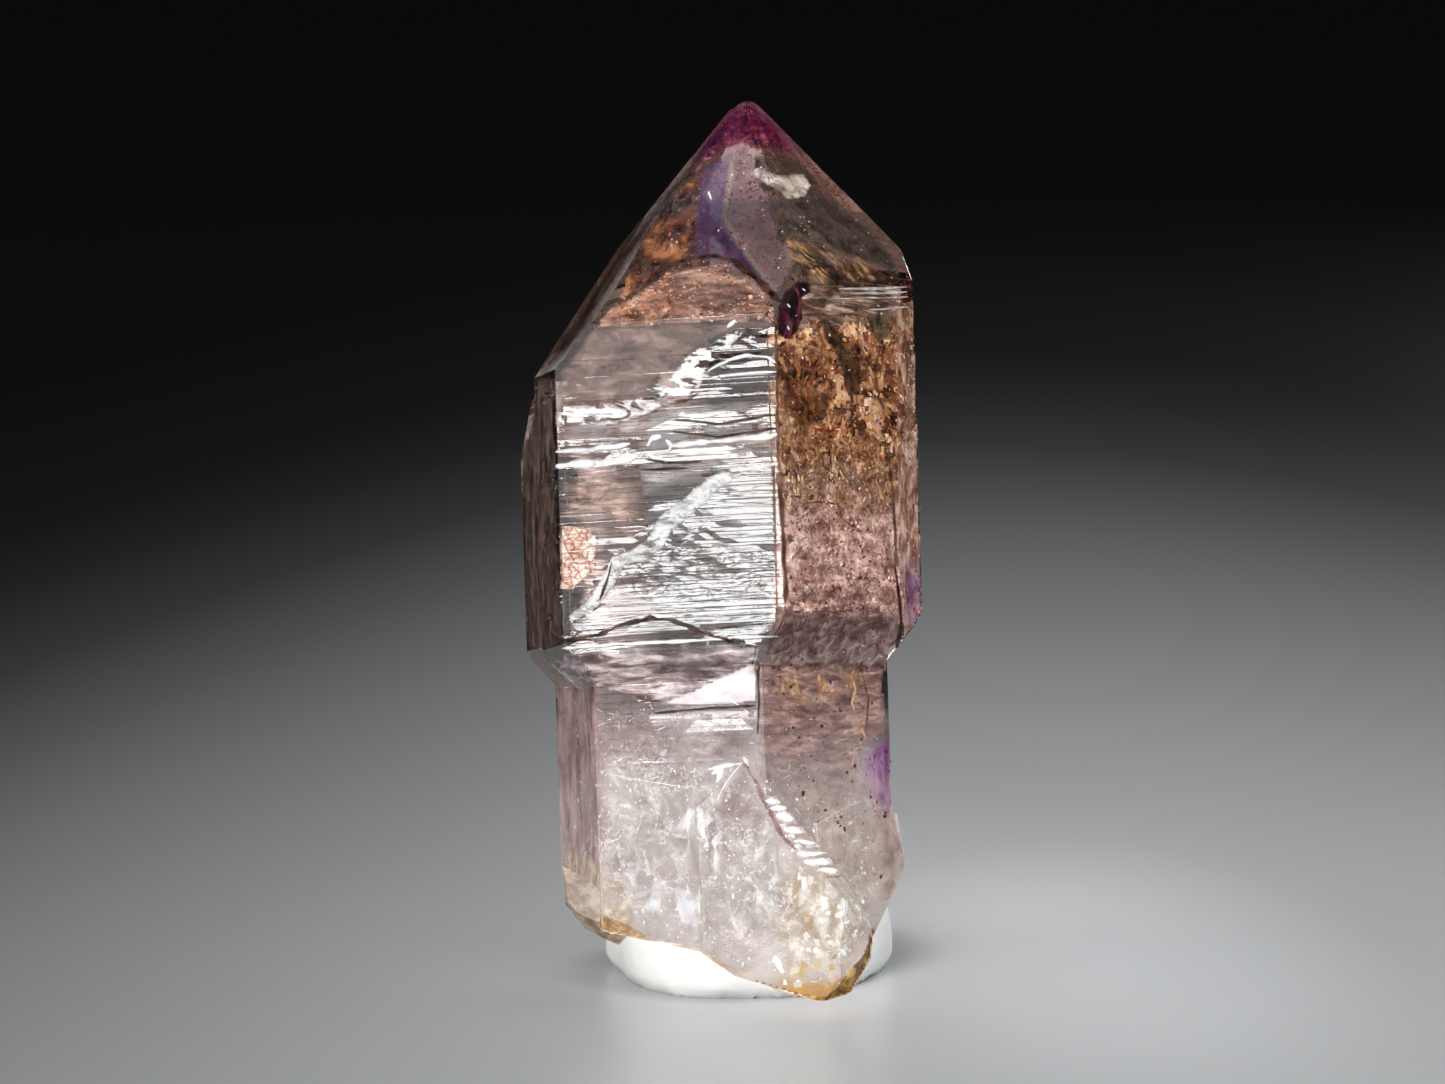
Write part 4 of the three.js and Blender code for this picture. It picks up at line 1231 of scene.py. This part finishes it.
        "grid": 9, "depth": -0.03, "relief": 0.0, "contrast": (0.3, 0.7), "stretch": (1.0, 1.0, 0.7), "detail": 9.0,
        "bend": 0.8, "cover": (0.6, 1.0), "edge": 9, "bump": 0.3,
        "colours": [(0.40, 0.34, 0.32), (0.49, 0.43, 0.41), (0.60, 0.55, 0.52), (0.92, 0.9, 0.88)],
    },
    # Bright white patches by the seam: partly pale healed cracks, partly painted highlights where glassy spots catch
    # the light.
    "healed_cracks_and_highlights": {
        "outline": [(684, 808), (700, 802), (716, 816), (728, 846), (722, 866), (700, 862), (686, 838)],
        "depth": -0.04, "relief": 0.0, "stretch": (0.8, 0.8, 0.8), "cover": (0.0, 0.95),
        "cover_stretch": (1.3, 1.3, 0.9), "cover_contrast": (0.49, 0.55), "edge": 8, "bump": 0.1,
        "colours": [(0.72, 0.70, 0.71), (1.0, 1.0, 1.0)],
    },
    "bluish_patches": {
        "outline": [(618, 862), (640, 856), (668, 880), (700, 892), (706, 930), (672, 926), (640, 908), (622, 890)],
        "depth": -0.035, "relief": 0.0, "stretch": (0.8, 0.8, 0.8), "cover": (0.0, 0.8),
        "cover_stretch": (0.9, 0.9, 0.55), "cover_contrast": (0.47, 0.56), "edge": 10, "bump": 0.1,
        "colours": [(0.60, 0.59, 0.61), (0.88, 0.88, 0.9)],
    },
    "pale_threads": {
        "outline": [(606, 752), (740, 770), (770, 820), (800, 868), (800, 960), (700, 940), (620, 905), (590, 880),
                    (572, 860), (600, 800)],
        "depth": -0.025, "relief": 0.0, "contrast": (0.3, 0.7), "cover": (0.5, 0.0), "cover_kind": "lines",
        "cover_stretch": (0.5, 0.5, 0.5), "cover_contrast": (0.003, 0.014), "edge": 10, "bump": 0.0, "bend": 0.5,
        "colours": [(0.72, 0.69, 0.67), (1.0, 1.0, 0.98)],
    },
    "stem_threads": {
        "outline": [(606, 700), (756, 712), (800, 830), (860, 830), (884, 860), (866, 905), (800, 862), (740, 760),
                    (610, 760)],
        "depth": -0.02, "relief": 0.0, "contrast": (0.3, 0.7), "cover": (0.55, 0.0), "cover_kind": "lines",
        "cover_stretch": (1.2, 1.2, 0.9), "cover_contrast": (0.006, 0.02), "edge": 10, "bump": 0.0, "bend": 1.0,
        "colours": [(0.30, 0.20, 0.18), (0.48, 0.38, 0.35)],
    },
}

# Ribbons: thin cracks, veins, and painted highlights along bright edges, just under the surface. Each one is a line of
# pixels of the photograph, with a width in pixels. There are dark ones, stained ones and white ones.
RIBBON_STEP_PIXELS = 3
RIBBONS = {
    "dark_cracks": {
        "colours": [(0.01, 0.004, 0.003), (0.09, 0.04, 0.03)], "depth": -0.07,
        "lines": [
            (10, [(640, 292), (652, 278), (668, 266), (690, 259), (715, 257), (735, 262), (752, 275), (768, 290),
                  (781, 302)]),
            (5, [(562, 641), (600, 634), (625, 624), (650, 618), (668, 620), (690, 627), (720, 638), (745, 643)]),
            (3, [(655, 713), (700, 709), (757, 706)]),
            (3, [(758, 662), (759, 700), (758, 734)]),
            (4, [(612, 562), (606, 585), (600, 600)]),
            (4, [(646, 459), (668, 463), (702, 462)]),
            (3, [(640, 470), (690, 468)]),
            (3, [(672, 420), (720, 424), (776, 414)]),
            (3, [(672, 432), (720, 437), (777, 428)]),
            (7, [(894, 566), (898, 600), (900, 628), (896, 650)]),
        ],
    },
    "brown_cracks": {
        "colours": [(0.07, 0.025, 0.015), (0.22, 0.115, 0.08)], "depth": -0.02,
        "lines": [
            (4, [(776, 336), (777, 400), (778, 470)]),
            (9, [(779, 472), (781, 500), (783, 540), (785, 580), (786, 604)]),
            (4, [(787, 610), (778, 630), (767, 644)]),
            (7, [(884, 448), (890, 470), (893, 500), (895, 536), (896, 566)]),
            (3, [(802, 504), (822, 502), (838, 505)]),
            (3, [(836, 500), (842, 520), (856, 528)]),
            (4, [(860, 664), (868, 700), (866, 730)]),
        ],
    },
    "leg_line": {
        "colours": [(0.20, 0.10, 0.085), (0.36, 0.24, 0.21)], "depth": -0.03,
        "lines": [(6, [(743, 761), (757, 785), (765, 803), (772, 816), (780, 832), (796, 850)])],
    },
    "red_cracks": {
        "colours": [(0.10, 0.012, 0.006), (0.38, 0.08, 0.035)], "depth": 0.02,
        "lines": [
            (3, [(800, 366), (830, 371), (862, 368)]),
            (4, [(812, 428), (830, 432), (842, 424)]),
            (3, [(888, 426), (900, 431), (914, 431)]),
            (3, [(902, 320), (905, 380), (908, 440), (909, 500), (911, 560)]),
            (2, [(898, 340), (901, 420), (903, 480)]),
            (3, [(765, 803), (772, 815), (779, 828)]),
        ],
    },
    "rusty_veins": {
        "colours": [(0.30, 0.15, 0.05), (0.80, 0.55, 0.28)], "depth": 0.1,
        "lines": [
            (5, [(858, 664), (853, 676), (856, 690), (852, 702), (857, 715)]),
            (4, [(856, 715), (862, 728), (867, 738), (858, 746)]),
            (4, [(856, 750), (852, 768), (850, 782)]),
            (7, [(819, 676), (822, 686), (820, 697)]),
            (12, [(788, 874), (792, 886), (797, 897)]),
            (6, [(786, 862), (792, 866)]),
            (10, [(606, 930), (614, 933)]),
            (5, [(724, 934), (736, 936), (746, 932)]),
            (5, [(700, 951), (722, 966), (742, 974), (770, 985), (800, 996)]),
            (4, [(627, 934), (660, 940), (700, 951)]),
        ],
    },
    # Painted highlights: white lines where edges, steps and streaks of the faces catch the light, and glints on the
    # dark corner.
    "white_lines_and_painted_highlights": {
        "colours": [(0.75, 0.73, 0.73), (1.0, 1.0, 1.0)], "depth": -0.03,
        "lines": [
            (4, [(562, 648), (620, 644), (700, 640), (778, 636)]),
            (8, [(647, 446), (651, 438), (661, 436)]),
            (7, [(666, 440), (672, 446), (668, 453)]),
            (8, [(664, 456), (655, 460), (648, 454)]),
            (10, [(556, 466), (600, 464), (636, 456)]),
            (6, [(556, 452), (590, 450), (630, 444)]),
            (7, [(672, 446), (730, 440), (777, 434)]),
            (6, [(730, 470), (760, 468), (778, 464)]),
            (9, [(728, 328), (736, 321)]),
            (4, [(708, 371), (728, 360), (748, 355), (768, 357), (776, 363)]),
            (4, [(712, 377), (740, 374), (776, 372)]),
            (6, [(613, 558), (608, 572), (600, 590), (588, 608)]),
            (5, [(708, 192), (711, 200)]),
            (4, [(708, 770), (724, 766), (742, 763)]),
            (7, [(712, 774), (722, 770), (716, 782)]),
            (8, [(744, 757), (748, 766)]),
            (2, [(742, 763), (726, 782), (716, 802)]),
            (5, [(787, 304), (790, 307)]),
            (5, [(787, 326), (789, 330)]),
            (4, [(802, 289), (805, 291)]),
            (1, [(606, 774), (640, 780), (684, 787)]),
        ],
    },
    # Painted highlights: pale streaks where the striations at the top of the right face catch the light.
    "painted_striation_glints": {
        "colours": [(0.34, 0.31, 0.29), (0.75, 0.72, 0.70)], "depth": -0.03,
        "lines": [
            (3, [(838, 289), (870, 289), (907, 287)]),
            (3, [(850, 294), (907, 292)]),
            (2, [(830, 299), (908, 297)]),
            (3, [(868, 310), (909, 307)]),
        ],
    },
    "slope_lines": {
        "colours": [(0.10, 0.04, 0.015), (0.42, 0.24, 0.11)], "depth": 0.02,
        "lines": [
            (3, [(684, 176), (655, 214), (628, 254), (600, 298), (574, 340)]),
            (2, [(690, 160), (660, 200), (630, 244), (598, 292), (562, 346)]),
            (2, [(640, 232), (612, 272), (584, 314)]),
        ],
    },
    # Painted highlights: white bars where the growth steps catch the light, and glints along the edge below them.
    "painted_stair_highlights": {
        "colours": [(0.92, 0.91, 0.91), (1.0, 1.0, 1.0)], "depth": -0.04,
        "lines": [
            (8, [(765, 802), (780, 802)]), (8, [(771, 809), (786, 809)]), (16, [(776, 816), (792, 821)]),
            (9, [(784, 830), (806, 833)]), (6, [(794, 842), (817, 843)]), (8, [(795, 847), (820, 847)]),
            (8, [(797, 854), (826, 853)]), (12, [(804, 862), (831, 861)]), (10, [(818, 869), (836, 870)]),
            (14, [(842, 898), (842, 916)]), (10, [(841, 921), (841, 932)]), (8, [(853, 931), (855, 937)]),
            (7, [(867, 914), (868, 923)]), (9, [(775, 956), (784, 973)]), (8, [(840, 948), (846, 954)]),
        ],
    },
}


def veil_points(inside, veil, pixels):
    """The places of a veil's grid under the surface, how much each one fades, and which pixels they are."""
    end, full = veil["fade_rows"]
    outline = veil["outline"]
    bumps = smooth_noise(pixels, (16, 12), 21) + 0.5 * smooth_noise(pixels, (6, 5), 22) - 0.75
    edges = distance_to_line(outline + outline[:1], pixels[:, 0], pixels[:, 1])
    points, fades, kept = [], [], []
    for number, pixel in enumerate(pixels):
        found = inside.under_pixel(pixel, veil["depth"])
        if found is None:
            continue
        place = found[0] - found[1] * veil["relief"] * bumps[number]
        if veil["depth"] > 0 and inside.depth(place) < 0.02:
            continue
        points.append(place)
        fade = min(1.0, edges[number] / veil["edge"])
        if end != full:
            fade *= ramp(end - pixel[1], 0, end - full)
        fades.append(fade)
        kept.append(number)
    return points, fades, kept


def softened(number, fades, steps):
    """The fades of a sheet's points, less near its gaps. number gives each grid place's point."""
    reach = range(-steps, steps + 1)
    fades = list(fades)
    for (i, j), point in number.items():
        gaps = [max(abs(a), abs(b)) for a in reach for b in reach if (i + a, j + b) not in number]
        fades[point] *= min(gaps, default=steps + 1) / (steps + 1)
    return fades


def make_veil(inside, name, veil):
    """One veil: an uneven sheet below the surface, which fades towards its outline."""
    veil = {**VEIL_USUAL, **veil}
    low = np.min(veil["outline"], axis=0) - veil["grid"]
    high = np.max(veil["outline"], axis=0) + veil["grid"]
    columns = np.arange(low[0], high[0], veil["grid"])
    rows = np.arange(low[1], high[1], veil["grid"])
    places = [(i, j) for i in range(len(columns)) for j in range(len(rows))
              if in_polygon((columns[i], rows[j]), veil["outline"])]
    pixels = np.array([(columns[i], rows[j]) for i, j in places], float)
    points, fades, kept = veil_points(inside, veil, pixels)
    number = {places[pixel]: point for point, pixel in enumerate(kept)}
    faces = []
    for i, j in number:
        corners = [(i, j), (i + 1, j), (i + 1, j + 1), (i, j + 1)]
        if all(corner in number for corner in corners):
            faces.append([number[corner] for corner in corners])
    if veil["border"]:
        fades = softened(number, fades, veil["border"])
    piece = mesh_object(name, to_scene(points), faces, smooth=True)
    store_places(piece, points)
    store_value(piece, "fade", fades)
    piece.data.materials.append(veil_material(name, veil))
    piece.visible_shadow = False
    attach(piece, "root")


def veil_material(name, veil):
    """A veil of fine inclusions, whose colours run from dark to pale over a pattern, partly see-through."""
    material, shader, add, link = new_material(name)
    shape = pattern(add, link, veil["kind"], veil["stretch"], veil["detail"], veil["bend"], veil["contrast"],
                    veil["turn"])
    link(colour_steps(add, link, shape, veil["colours"]), shader.inputs["Base Color"])
    holes = pattern(add, link, veil["cover_kind"], veil["cover_stretch"], 5.0, veil["bend"],
                    veil["cover_contrast"], veil["turn"])
    cover = add("ShaderNodeMapRange")
    cover.inputs["To Min"].default_value = veil["cover"][0]
    cover.inputs["To Max"].default_value = veil["cover"][1]
    link(holes, cover.inputs["Value"])
    fade = add("ShaderNodeAttribute", attribute_name="fade")
    alpha = add("ShaderNodeMath", operation="MULTIPLY")
    link(cover.outputs["Result"], alpha.inputs[0])
    link(fade.outputs["Fac"], alpha.inputs[1])
    link(alpha.outputs["Value"], shader.inputs["Alpha"])
    shader.inputs["Roughness"].default_value = veil["shine"]
    if veil["depth"] < 0:
        shader.inputs["Specular IOR Level"].default_value = SURFACE_MARK_SPECULAR
    if veil["bump"] > 0:
        bump = add("ShaderNodeBump", Strength=veil["bump"], Distance=0.0003)
        link(shape, bump.inputs["Height"])
        link(bump.outputs["Normal"], shader.inputs["Normal"])
    return material


def pattern(add, link, kind, stretch, detail, bend, contrast, turn=0):
    """A node output from 0 to 1 over the crystal's axes: noise, thin lines at 0, or cells with dark rims."""
    place = add("ShaderNodeAttribute", attribute_name="place")
    turned = add("ShaderNodeVectorRotate", rotation_type="Y_AXIS", Angle=math.radians(-turn))
    link(place.outputs["Vector"], turned.inputs["Vector"])
    scaled = add("ShaderNodeVectorMath", operation="MULTIPLY")
    link(turned.outputs["Vector"], scaled.inputs[0])
    scaled.inputs[1].default_value = stretch
    clouds = add("ShaderNodeTexNoise", Scale=1.0, Detail=float(detail), Roughness=0.62, Distortion=float(bend))
    link(scaled.outputs["Vector"], clouds.inputs["Vector"])
    value = clouds.outputs["Fac"]
    if kind == "cells":
        return cells_pattern(add, link, scaled.outputs["Vector"], clouds, bend)
    if kind == "lines":
        away = add("ShaderNodeMath", operation="SUBTRACT")
        link(value, away.inputs[0])
        away.inputs[1].default_value = 0.5
        size = add("ShaderNodeMath", operation="ABSOLUTE")
        link(away.outputs["Value"], size.inputs[0])
        value = size.outputs["Value"]
    return smooth_step(add, link, value, *contrast)


def smooth_step(add, link, value, low, high):
    """A node output that goes smoothly from 0 at low to 1 at high."""
    part = add("ShaderNodeMapRange")
    part.interpolation_type = "SMOOTHSTEP"
    part.inputs["From Min"].default_value = low
    part.inputs["From Max"].default_value = high
    link(value, part.inputs["Value"])
    return part.outputs["Result"]


def cells_pattern(add, link, place, clouds, bend):
    """Growth cells: each has a shade of its own, mottled, and a dark rim."""
    shift = add("ShaderNodeVectorMath", operation="MULTIPLY_ADD")
    link(clouds.outputs["Color"], shift.inputs[0])
    shift.inputs[1].default_value = (bend, bend, bend * 0.6)
    link(place, shift.inputs[2])
    cells = add("ShaderNodeTexVoronoi", Scale=1.0)
    link(shift.outputs["Vector"], cells.inputs["Vector"])
    rims = add("ShaderNodeTexVoronoi", Scale=1.0)
    rims.feature = "DISTANCE_TO_EDGE"
    link(shift.outputs["Vector"], rims.inputs["Vector"])
    grey = add("ShaderNodeSeparateColor")
    link(cells.outputs["Color"], grey.inputs["Color"])
    mottled = add("ShaderNodeMath", operation="MULTIPLY_ADD")
    link(grey.outputs["Red"], mottled.inputs[0])
    mottled.inputs[1].default_value = 0.55
    fine = smooth_step(add, link, clouds.outputs["Fac"], 0.3, 0.85)
    link(fine, mottled.inputs[2])
    shade = add("ShaderNodeMath", operation="MULTIPLY")
    link(mottled.outputs["Value"], shade.inputs[0])
    link(smooth_step(add, link, rims.outputs["Distance"], -0.02, 0.12), shade.inputs[1])
    return shade.outputs["Value"]


def colour_steps(add, link, value, colours):
    """A node output whose colour runs evenly through the given colours."""
    shades = add("ShaderNodeValToRGB")
    stops = shades.color_ramp.elements
    while len(stops) < len(colours):
        stops.new(1.0)
    for number, colour in enumerate(colours):
        stops[number].position = number / (len(colours) - 1)
        stops[number].color = tuple(colour) + (1,)
    link(value, shades.inputs["Fac"])
    return shades.outputs["Color"]


def ribbon_rows(inside, width, line, depth):
    """The left edge, middle and right edge of a ribbon under the surface, row by row."""
    line = np.array(line, float)
    steps = np.concatenate([[0], np.cumsum(np.linalg.norm(np.diff(line, axis=0), axis=1))])
    count = max(3, int(steps[-1] / RIBBON_STEP_PIXELS))
    at = np.linspace(0, steps[-1], count)
    pixels = np.stack([np.interp(at, steps, line[:, 0]), np.interp(at, steps, line[:, 1])], 1)
    wander = smooth_noise(pixels, (9, 9), 23) - 0.5
    found = [inside.under_pixel(pixel, depth) for pixel in pixels]
    kept = [k for k, place in enumerate(found) if place is not None]
    rows = []
    for k in kept:
        place, normal = found[k]
        ahead, behind = found[kept[min(kept.index(k) + 1, len(kept) - 1)]], found[kept[max(kept.index(k) - 1, 0)]]
        side = np.cross(normal, ahead[0] - behind[0])
        side /= max(np.linalg.norm(side), 1e-9)
        taper = min(1.0, 0.35 + min(at[k], steps[-1] - at[k]) / 12)
        half = width / 2 * MM_PER_PIXEL * taper * (1 + wander[k])
        middle = place + side * width * MM_PER_PIXEL * 0.35 * (smooth_noise(pixels[k:k + 1], (14, 14), 24)[0] - 0.5)
        rows.append([middle - side * half, middle, middle + side * half])
    return rows


def make_ribbons(inside, name, style):
    """All ribbons of one kind in one mesh, soft along their edges."""
    points, faces, fades = [], [], []
    for width, line in style["lines"]:
        rows = ribbon_rows(inside, width, line, style["depth"])
        for number, row in enumerate(rows):
            start = len(points)
            points += row
            fades += [0.15, 1.0, 0.15]
            if number:
                faces += [[start - 3, start - 2, start + 1, start], [start - 2, start - 1, start + 2, start + 1]]
    piece = mesh_object(name, to_scene(points), faces, smooth=True)
    store_places(piece, points)
    store_value(piece, "fade", fades)
    material, shader, add, link = new_material(name)
    shape = pattern(add, link, "noise", (1.5, 1.5, 1.5), 5.0, 0.5, (0.35, 0.65))
    link(colour_steps(add, link, shape, style["colours"]), shader.inputs["Base Color"])
    fade = add("ShaderNodeAttribute", attribute_name="fade")
    link(smooth_step(add, link, fade.outputs["Fac"], 0.1, 0.7), shader.inputs["Alpha"])
    shader.inputs["Roughness"].default_value = 0.4
    shader.inputs["Specular IOR Level"].default_value = SURFACE_MARK_SPECULAR
    piece.data.materials.append(material)
    piece.visible_shadow = False
    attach(piece, "root")


def make_milky_cloud(inside):
    """White grains and small cracks that make the base milky."""
    rng = np.random.default_rng(17)
    places = []
    while len(places) < 7000:
        point = rng.uniform((-8, -9, -1), (8, 8, 16))
        wanted = ramp(15.5 - point[2] + 0.5 * (4 - abs(point[0])), 0, 9)
        if rng.uniform() > wanted or inside.depth(point) < 0.2:
            continue
        places.append(point)
    places = np.array(places)
    widths = rng.uniform(0.05, 0.22, len(places)) * np.where(rng.uniform(size=len(places)) > 0.97, 3.5, 1)
    normals = tilted(np.zeros_like(places), 1, rng)
    piece = plates("milky_cloud", places, normals, rng.normal(size=places.shape), widths, widths * 0.6, 0.02, 5, rng)
    piece.data.materials.append(inclusion_material("milk_white", [(0.60, 0.56, 0.56), (0.85, 0.81, 0.80)], 0.4))


# The worn corner at the lower left: rings of pixels, and how far back each ring lies, in mm
WORN_FOOT_ANCHOR = (600, 896)
WORN_FOOT_RINGS = [
    (0.0, [(566, 880), (568, 902), (578, 913), (593, 920), (615, 926), (628, 930), (612, 910), (590, 880)]),
    (0.8, [(562, 866), (565, 904), (577, 918), (585, 928), (603, 938), (619, 945), (628, 935)]),
    (2.4, [(563, 868), (567, 902), (578, 915), (587, 926), (604, 935), (618, 940), (630, 932)]),
]


def make_worn_foot(inside):
    """The worn corner at the lower left: a pale front, and an iron-stained underside."""
    start = to_scene([inside.under_pixel(WORN_FOOT_ANCHOR, 0.0)[0]])[0][1]
    shape = bmesh.new()
    for back, ring in WORN_FOOT_RINGS:
        for pixel in ring:
            shape.verts.new(inside.at_pixel(pixel, start + back * MM))
    bmesh.ops.convex_hull(shape, input=shape.verts)
    inner = [vertex for vertex in shape.verts if not vertex.link_faces]
    bmesh.ops.delete(shape, geom=inner, context="VERTS")
    bmesh.ops.recalc_face_normals(shape, faces=shape.faces)
    shape.verts.index_update()
    points = [vertex.co.copy() for vertex in shape.verts]
    faces = [[vertex.index for vertex in face.verts] for face in shape.faces]
    underside = [int(face.normal.z < -0.35) for face in shape.faces]
    shape.free()
    piece = mesh_object("worn_foot", points, faces)
    store_places(piece, to_crystal(points))
    front = [(0.36, 0.27, 0.22), (0.47, 0.375, 0.31), (0.62, 0.53, 0.44)]
    stained = [(0.26, 0.14, 0.06), (0.38, 0.27, 0.19), (0.58, 0.43, 0.29)]
    for name, colours in {"worn_front": front, "worn_underside": stained}.items():
        material, shader, add, link = new_material(name)
        blotches = pattern(add, link, "noise", (1.3, 1.3, 1.3), 6.0, 0.5, (0.35, 0.65))
        link(colour_steps(add, link, blotches, colours), shader.inputs["Base Color"])
        shader.inputs["Roughness"].default_value = 0.3
        piece.data.materials.append(material)
    piece.data.polygons.foreach_set("material_index", underside)
    piece.visible_shadow = False
    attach(piece, "root")


def make_haze(number, scale):
    """A shrunken copy of the crystal's outline, where fine inclusions make a thin haze."""
    polygons = {3: node_triangles(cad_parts["crystal"])}
    polygons = cut_by_levels(polygons, 0, np.arange(-10.0, 11.0, 2.0))
    polygons = cut_by_levels(polygons, 2, np.arange(0.0, 44.0, 1.0))
    points, faces, _ = joined_mesh(polygons)
    middle = np.array([0.4, -0.4, 19.0])
    shrunk = middle + (points - middle) * scale
    piece = mesh_object(f"haze_{number}", to_scene(shrunk), faces)
    set_attributes(piece, points)
    piece.data.materials.append(haze_material(f"haze_{number}"))
    piece.visible_shadow = False
    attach(piece, "root")


def make_inclusions(surface):
    """Everything that is sealed in the crystal."""
    inside = Inside(surface)
    make_haze(1, np.array([0.86, 0.86, 0.95]))
    make_haze(2, np.array([0.55, 0.55, 0.88]))
    make_rust_flakes(inside)
    for name, veil in VEILS.items():
        make_veil(inside, name, veil)
    for name, style in RIBBONS.items():
        make_ribbons(inside, name, style)
    for number, (name, flecks) in enumerate(FLECKS.items()):
        make_flecks(inside, name, flecks, 30 + number)
    make_milky_cloud(inside)
    make_worn_foot(inside)


# The putty: the CAD lump cut finer, smoothed, and dented a little by kneading

PUTTY_CUT_MM = 0.45
PUTTY_ROUNDS = 14
DENT_MM = 0.22
FOOT_MM = 0.05


def make_putty():
    """The kneaded lump of putty."""
    polygons = {3: node_triangles(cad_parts["display_putty"])}
    for axis in range(3):
        polygons = cut_by_levels(polygons, axis, np.arange(-13.0, 13.0, PUTTY_CUT_MM))
    points, faces, _ = joined_mesh(polygons)
    pairs = np.array([(face[k - 1], face[k]) for face in faces for k in range(len(face))])
    count = np.bincount(pairs.ravel(), minlength=len(points))[:, None]
    start = points.copy()
    for _ in range(PUTTY_ROUNDS):
        total = np.zeros_like(points)
        np.add.at(total, pairs[:, 0], points[pairs[:, 1]])
        np.add.at(total, pairs[:, 1], points[pairs[:, 0]])
        points = 0.5 * points + 0.5 * total / count
    dents = smooth_noise(points, (3.2, 3.2, 2.0), 97) + 0.3 * smooth_noise(points, (1.2, 1.2, 0.9), 98)
    middle = start.mean(axis=0)
    inward = unit(middle - points)
    points = points + inward * (dents * DENT_MM)[:, None]
    low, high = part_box("display_putty")
    scene_points, scene_start = to_scene(points), to_scene(start)
    on_foot = scene_start[:, 2] < low[2] + FOOT_MM * MM
    scene_points[on_foot, 2] = low[2]
    piece = mesh_object("kneaded_putty", kept_in_box(scene_points, low, high), faces, smooth=True)
    piece.data.materials.append(putty_material())
    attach(piece, "root")
    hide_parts("display_putty")


# The stage

def make_floor():
    """A large floor, with a pool of light painted on it by its material."""
    corners = [(-1, -1), (1, -1), (1, 1), (-1, 1)]
    points = [(x * FLOOR_RADIUS, y * FLOOR_RADIUS, 0) for x, y in corners]
    floor = mesh_object("floor", points, [(0, 1, 2, 3)])
    floor.data.materials.append(painted_light_floor_material())


def add_box(name, box):
    """A soft box that shines at the crystal. Its radiance is in white-paper units."""
    lamp = bpy.data.lights.new(name, "AREA")
    lamp.shape = "RECTANGLE"
    lamp.size = box["width"]
    lamp.size_y = box["height"]
    lamp.energy = box["radiance"] * math.pi * box["width"] * box["height"]
    lamp.color = box.get("colour", (1, 1, 1))
    piece = bpy.data.objects.new(name, lamp)
    target = Vector((0, 0, 0.024))
    direction = Vector(outward(box["azimuth"], box["rise"]))
    piece.location = target + direction * box["distance"]
    piece.rotation_euler = direction.to_track_quat("Z", "Y").to_euler()
    bpy.context.scene.collection.objects.link(piece)


def make_lights():
    """Plain soft studio light before a dark room."""
    add_box("key_box", KEY_BOX)
    add_box("fill_box", FILL_BOX)
    add_box("right_box", RIGHT_BOX)
    add_box("back_box", BACK_BOX)
    add_box("high_box", HIGH_BOX)
    world = bpy.data.worlds.new("dark_room")
    world.use_nodes = True
    world.node_tree.nodes["Background"].inputs["Color"].default_value = (0.009, 0.009, 0.010, 1)
    bpy.context.scene.world = world


def make_camera():
    """The camera at the photograph's viewing angle."""
    data = bpy.data.cameras.new("camera")
    data.sensor_width = SENSOR_WIDTH_MM
    data.lens = FOCAL_PIXELS * SENSOR_WIDTH_MM / PHOTO_WIDTH
    data.clip_start = 0.01
    data.clip_end = 20
    camera = bpy.data.objects.new("camera", data)
    direction = Vector(outward(0, CAMERA_RISE))
    camera.location = (Vector(CAMERA_TARGET_MM) + direction * CAMERA_DISTANCE_MM) * MM
    camera.rotation_euler = direction.to_track_quat("Z", "Y").to_euler()
    bpy.context.scene.collection.objects.link(camera)
    bpy.context.scene.camera = camera


def set_look():
    """Plain colours, and enough bounces for light inside the crystal."""
    scene = bpy.context.scene
    scene.view_settings.view_transform = "Standard"
    scene.cycles.max_bounces = 16
    scene.cycles.transmission_bounces = 16
    scene.cycles.glossy_bounces = 8
    scene.cycles.diffuse_bounces = 3
    scene.cycles.transparent_max_bounces = 24
    scene.cycles.use_denoising = True
    scene.cycles.sample_clamp_indirect = 6


def main():
    """Builds the scene."""
    make_camera()
    make_floor()
    make_lights()
    set_look()
    surface, points, faces = crystal_surface()
    set_attributes(surface, points)
    surface.data.materials.append(quartz_material())
    surface.visible_shadow = False
    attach(surface, "root")
    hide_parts("crystal")
    print("crystal triangles", sum(len(face) - 2 for face in faces))
    bpy.context.view_layer.update()
    make_inclusions(surface)
    make_putty()


main()
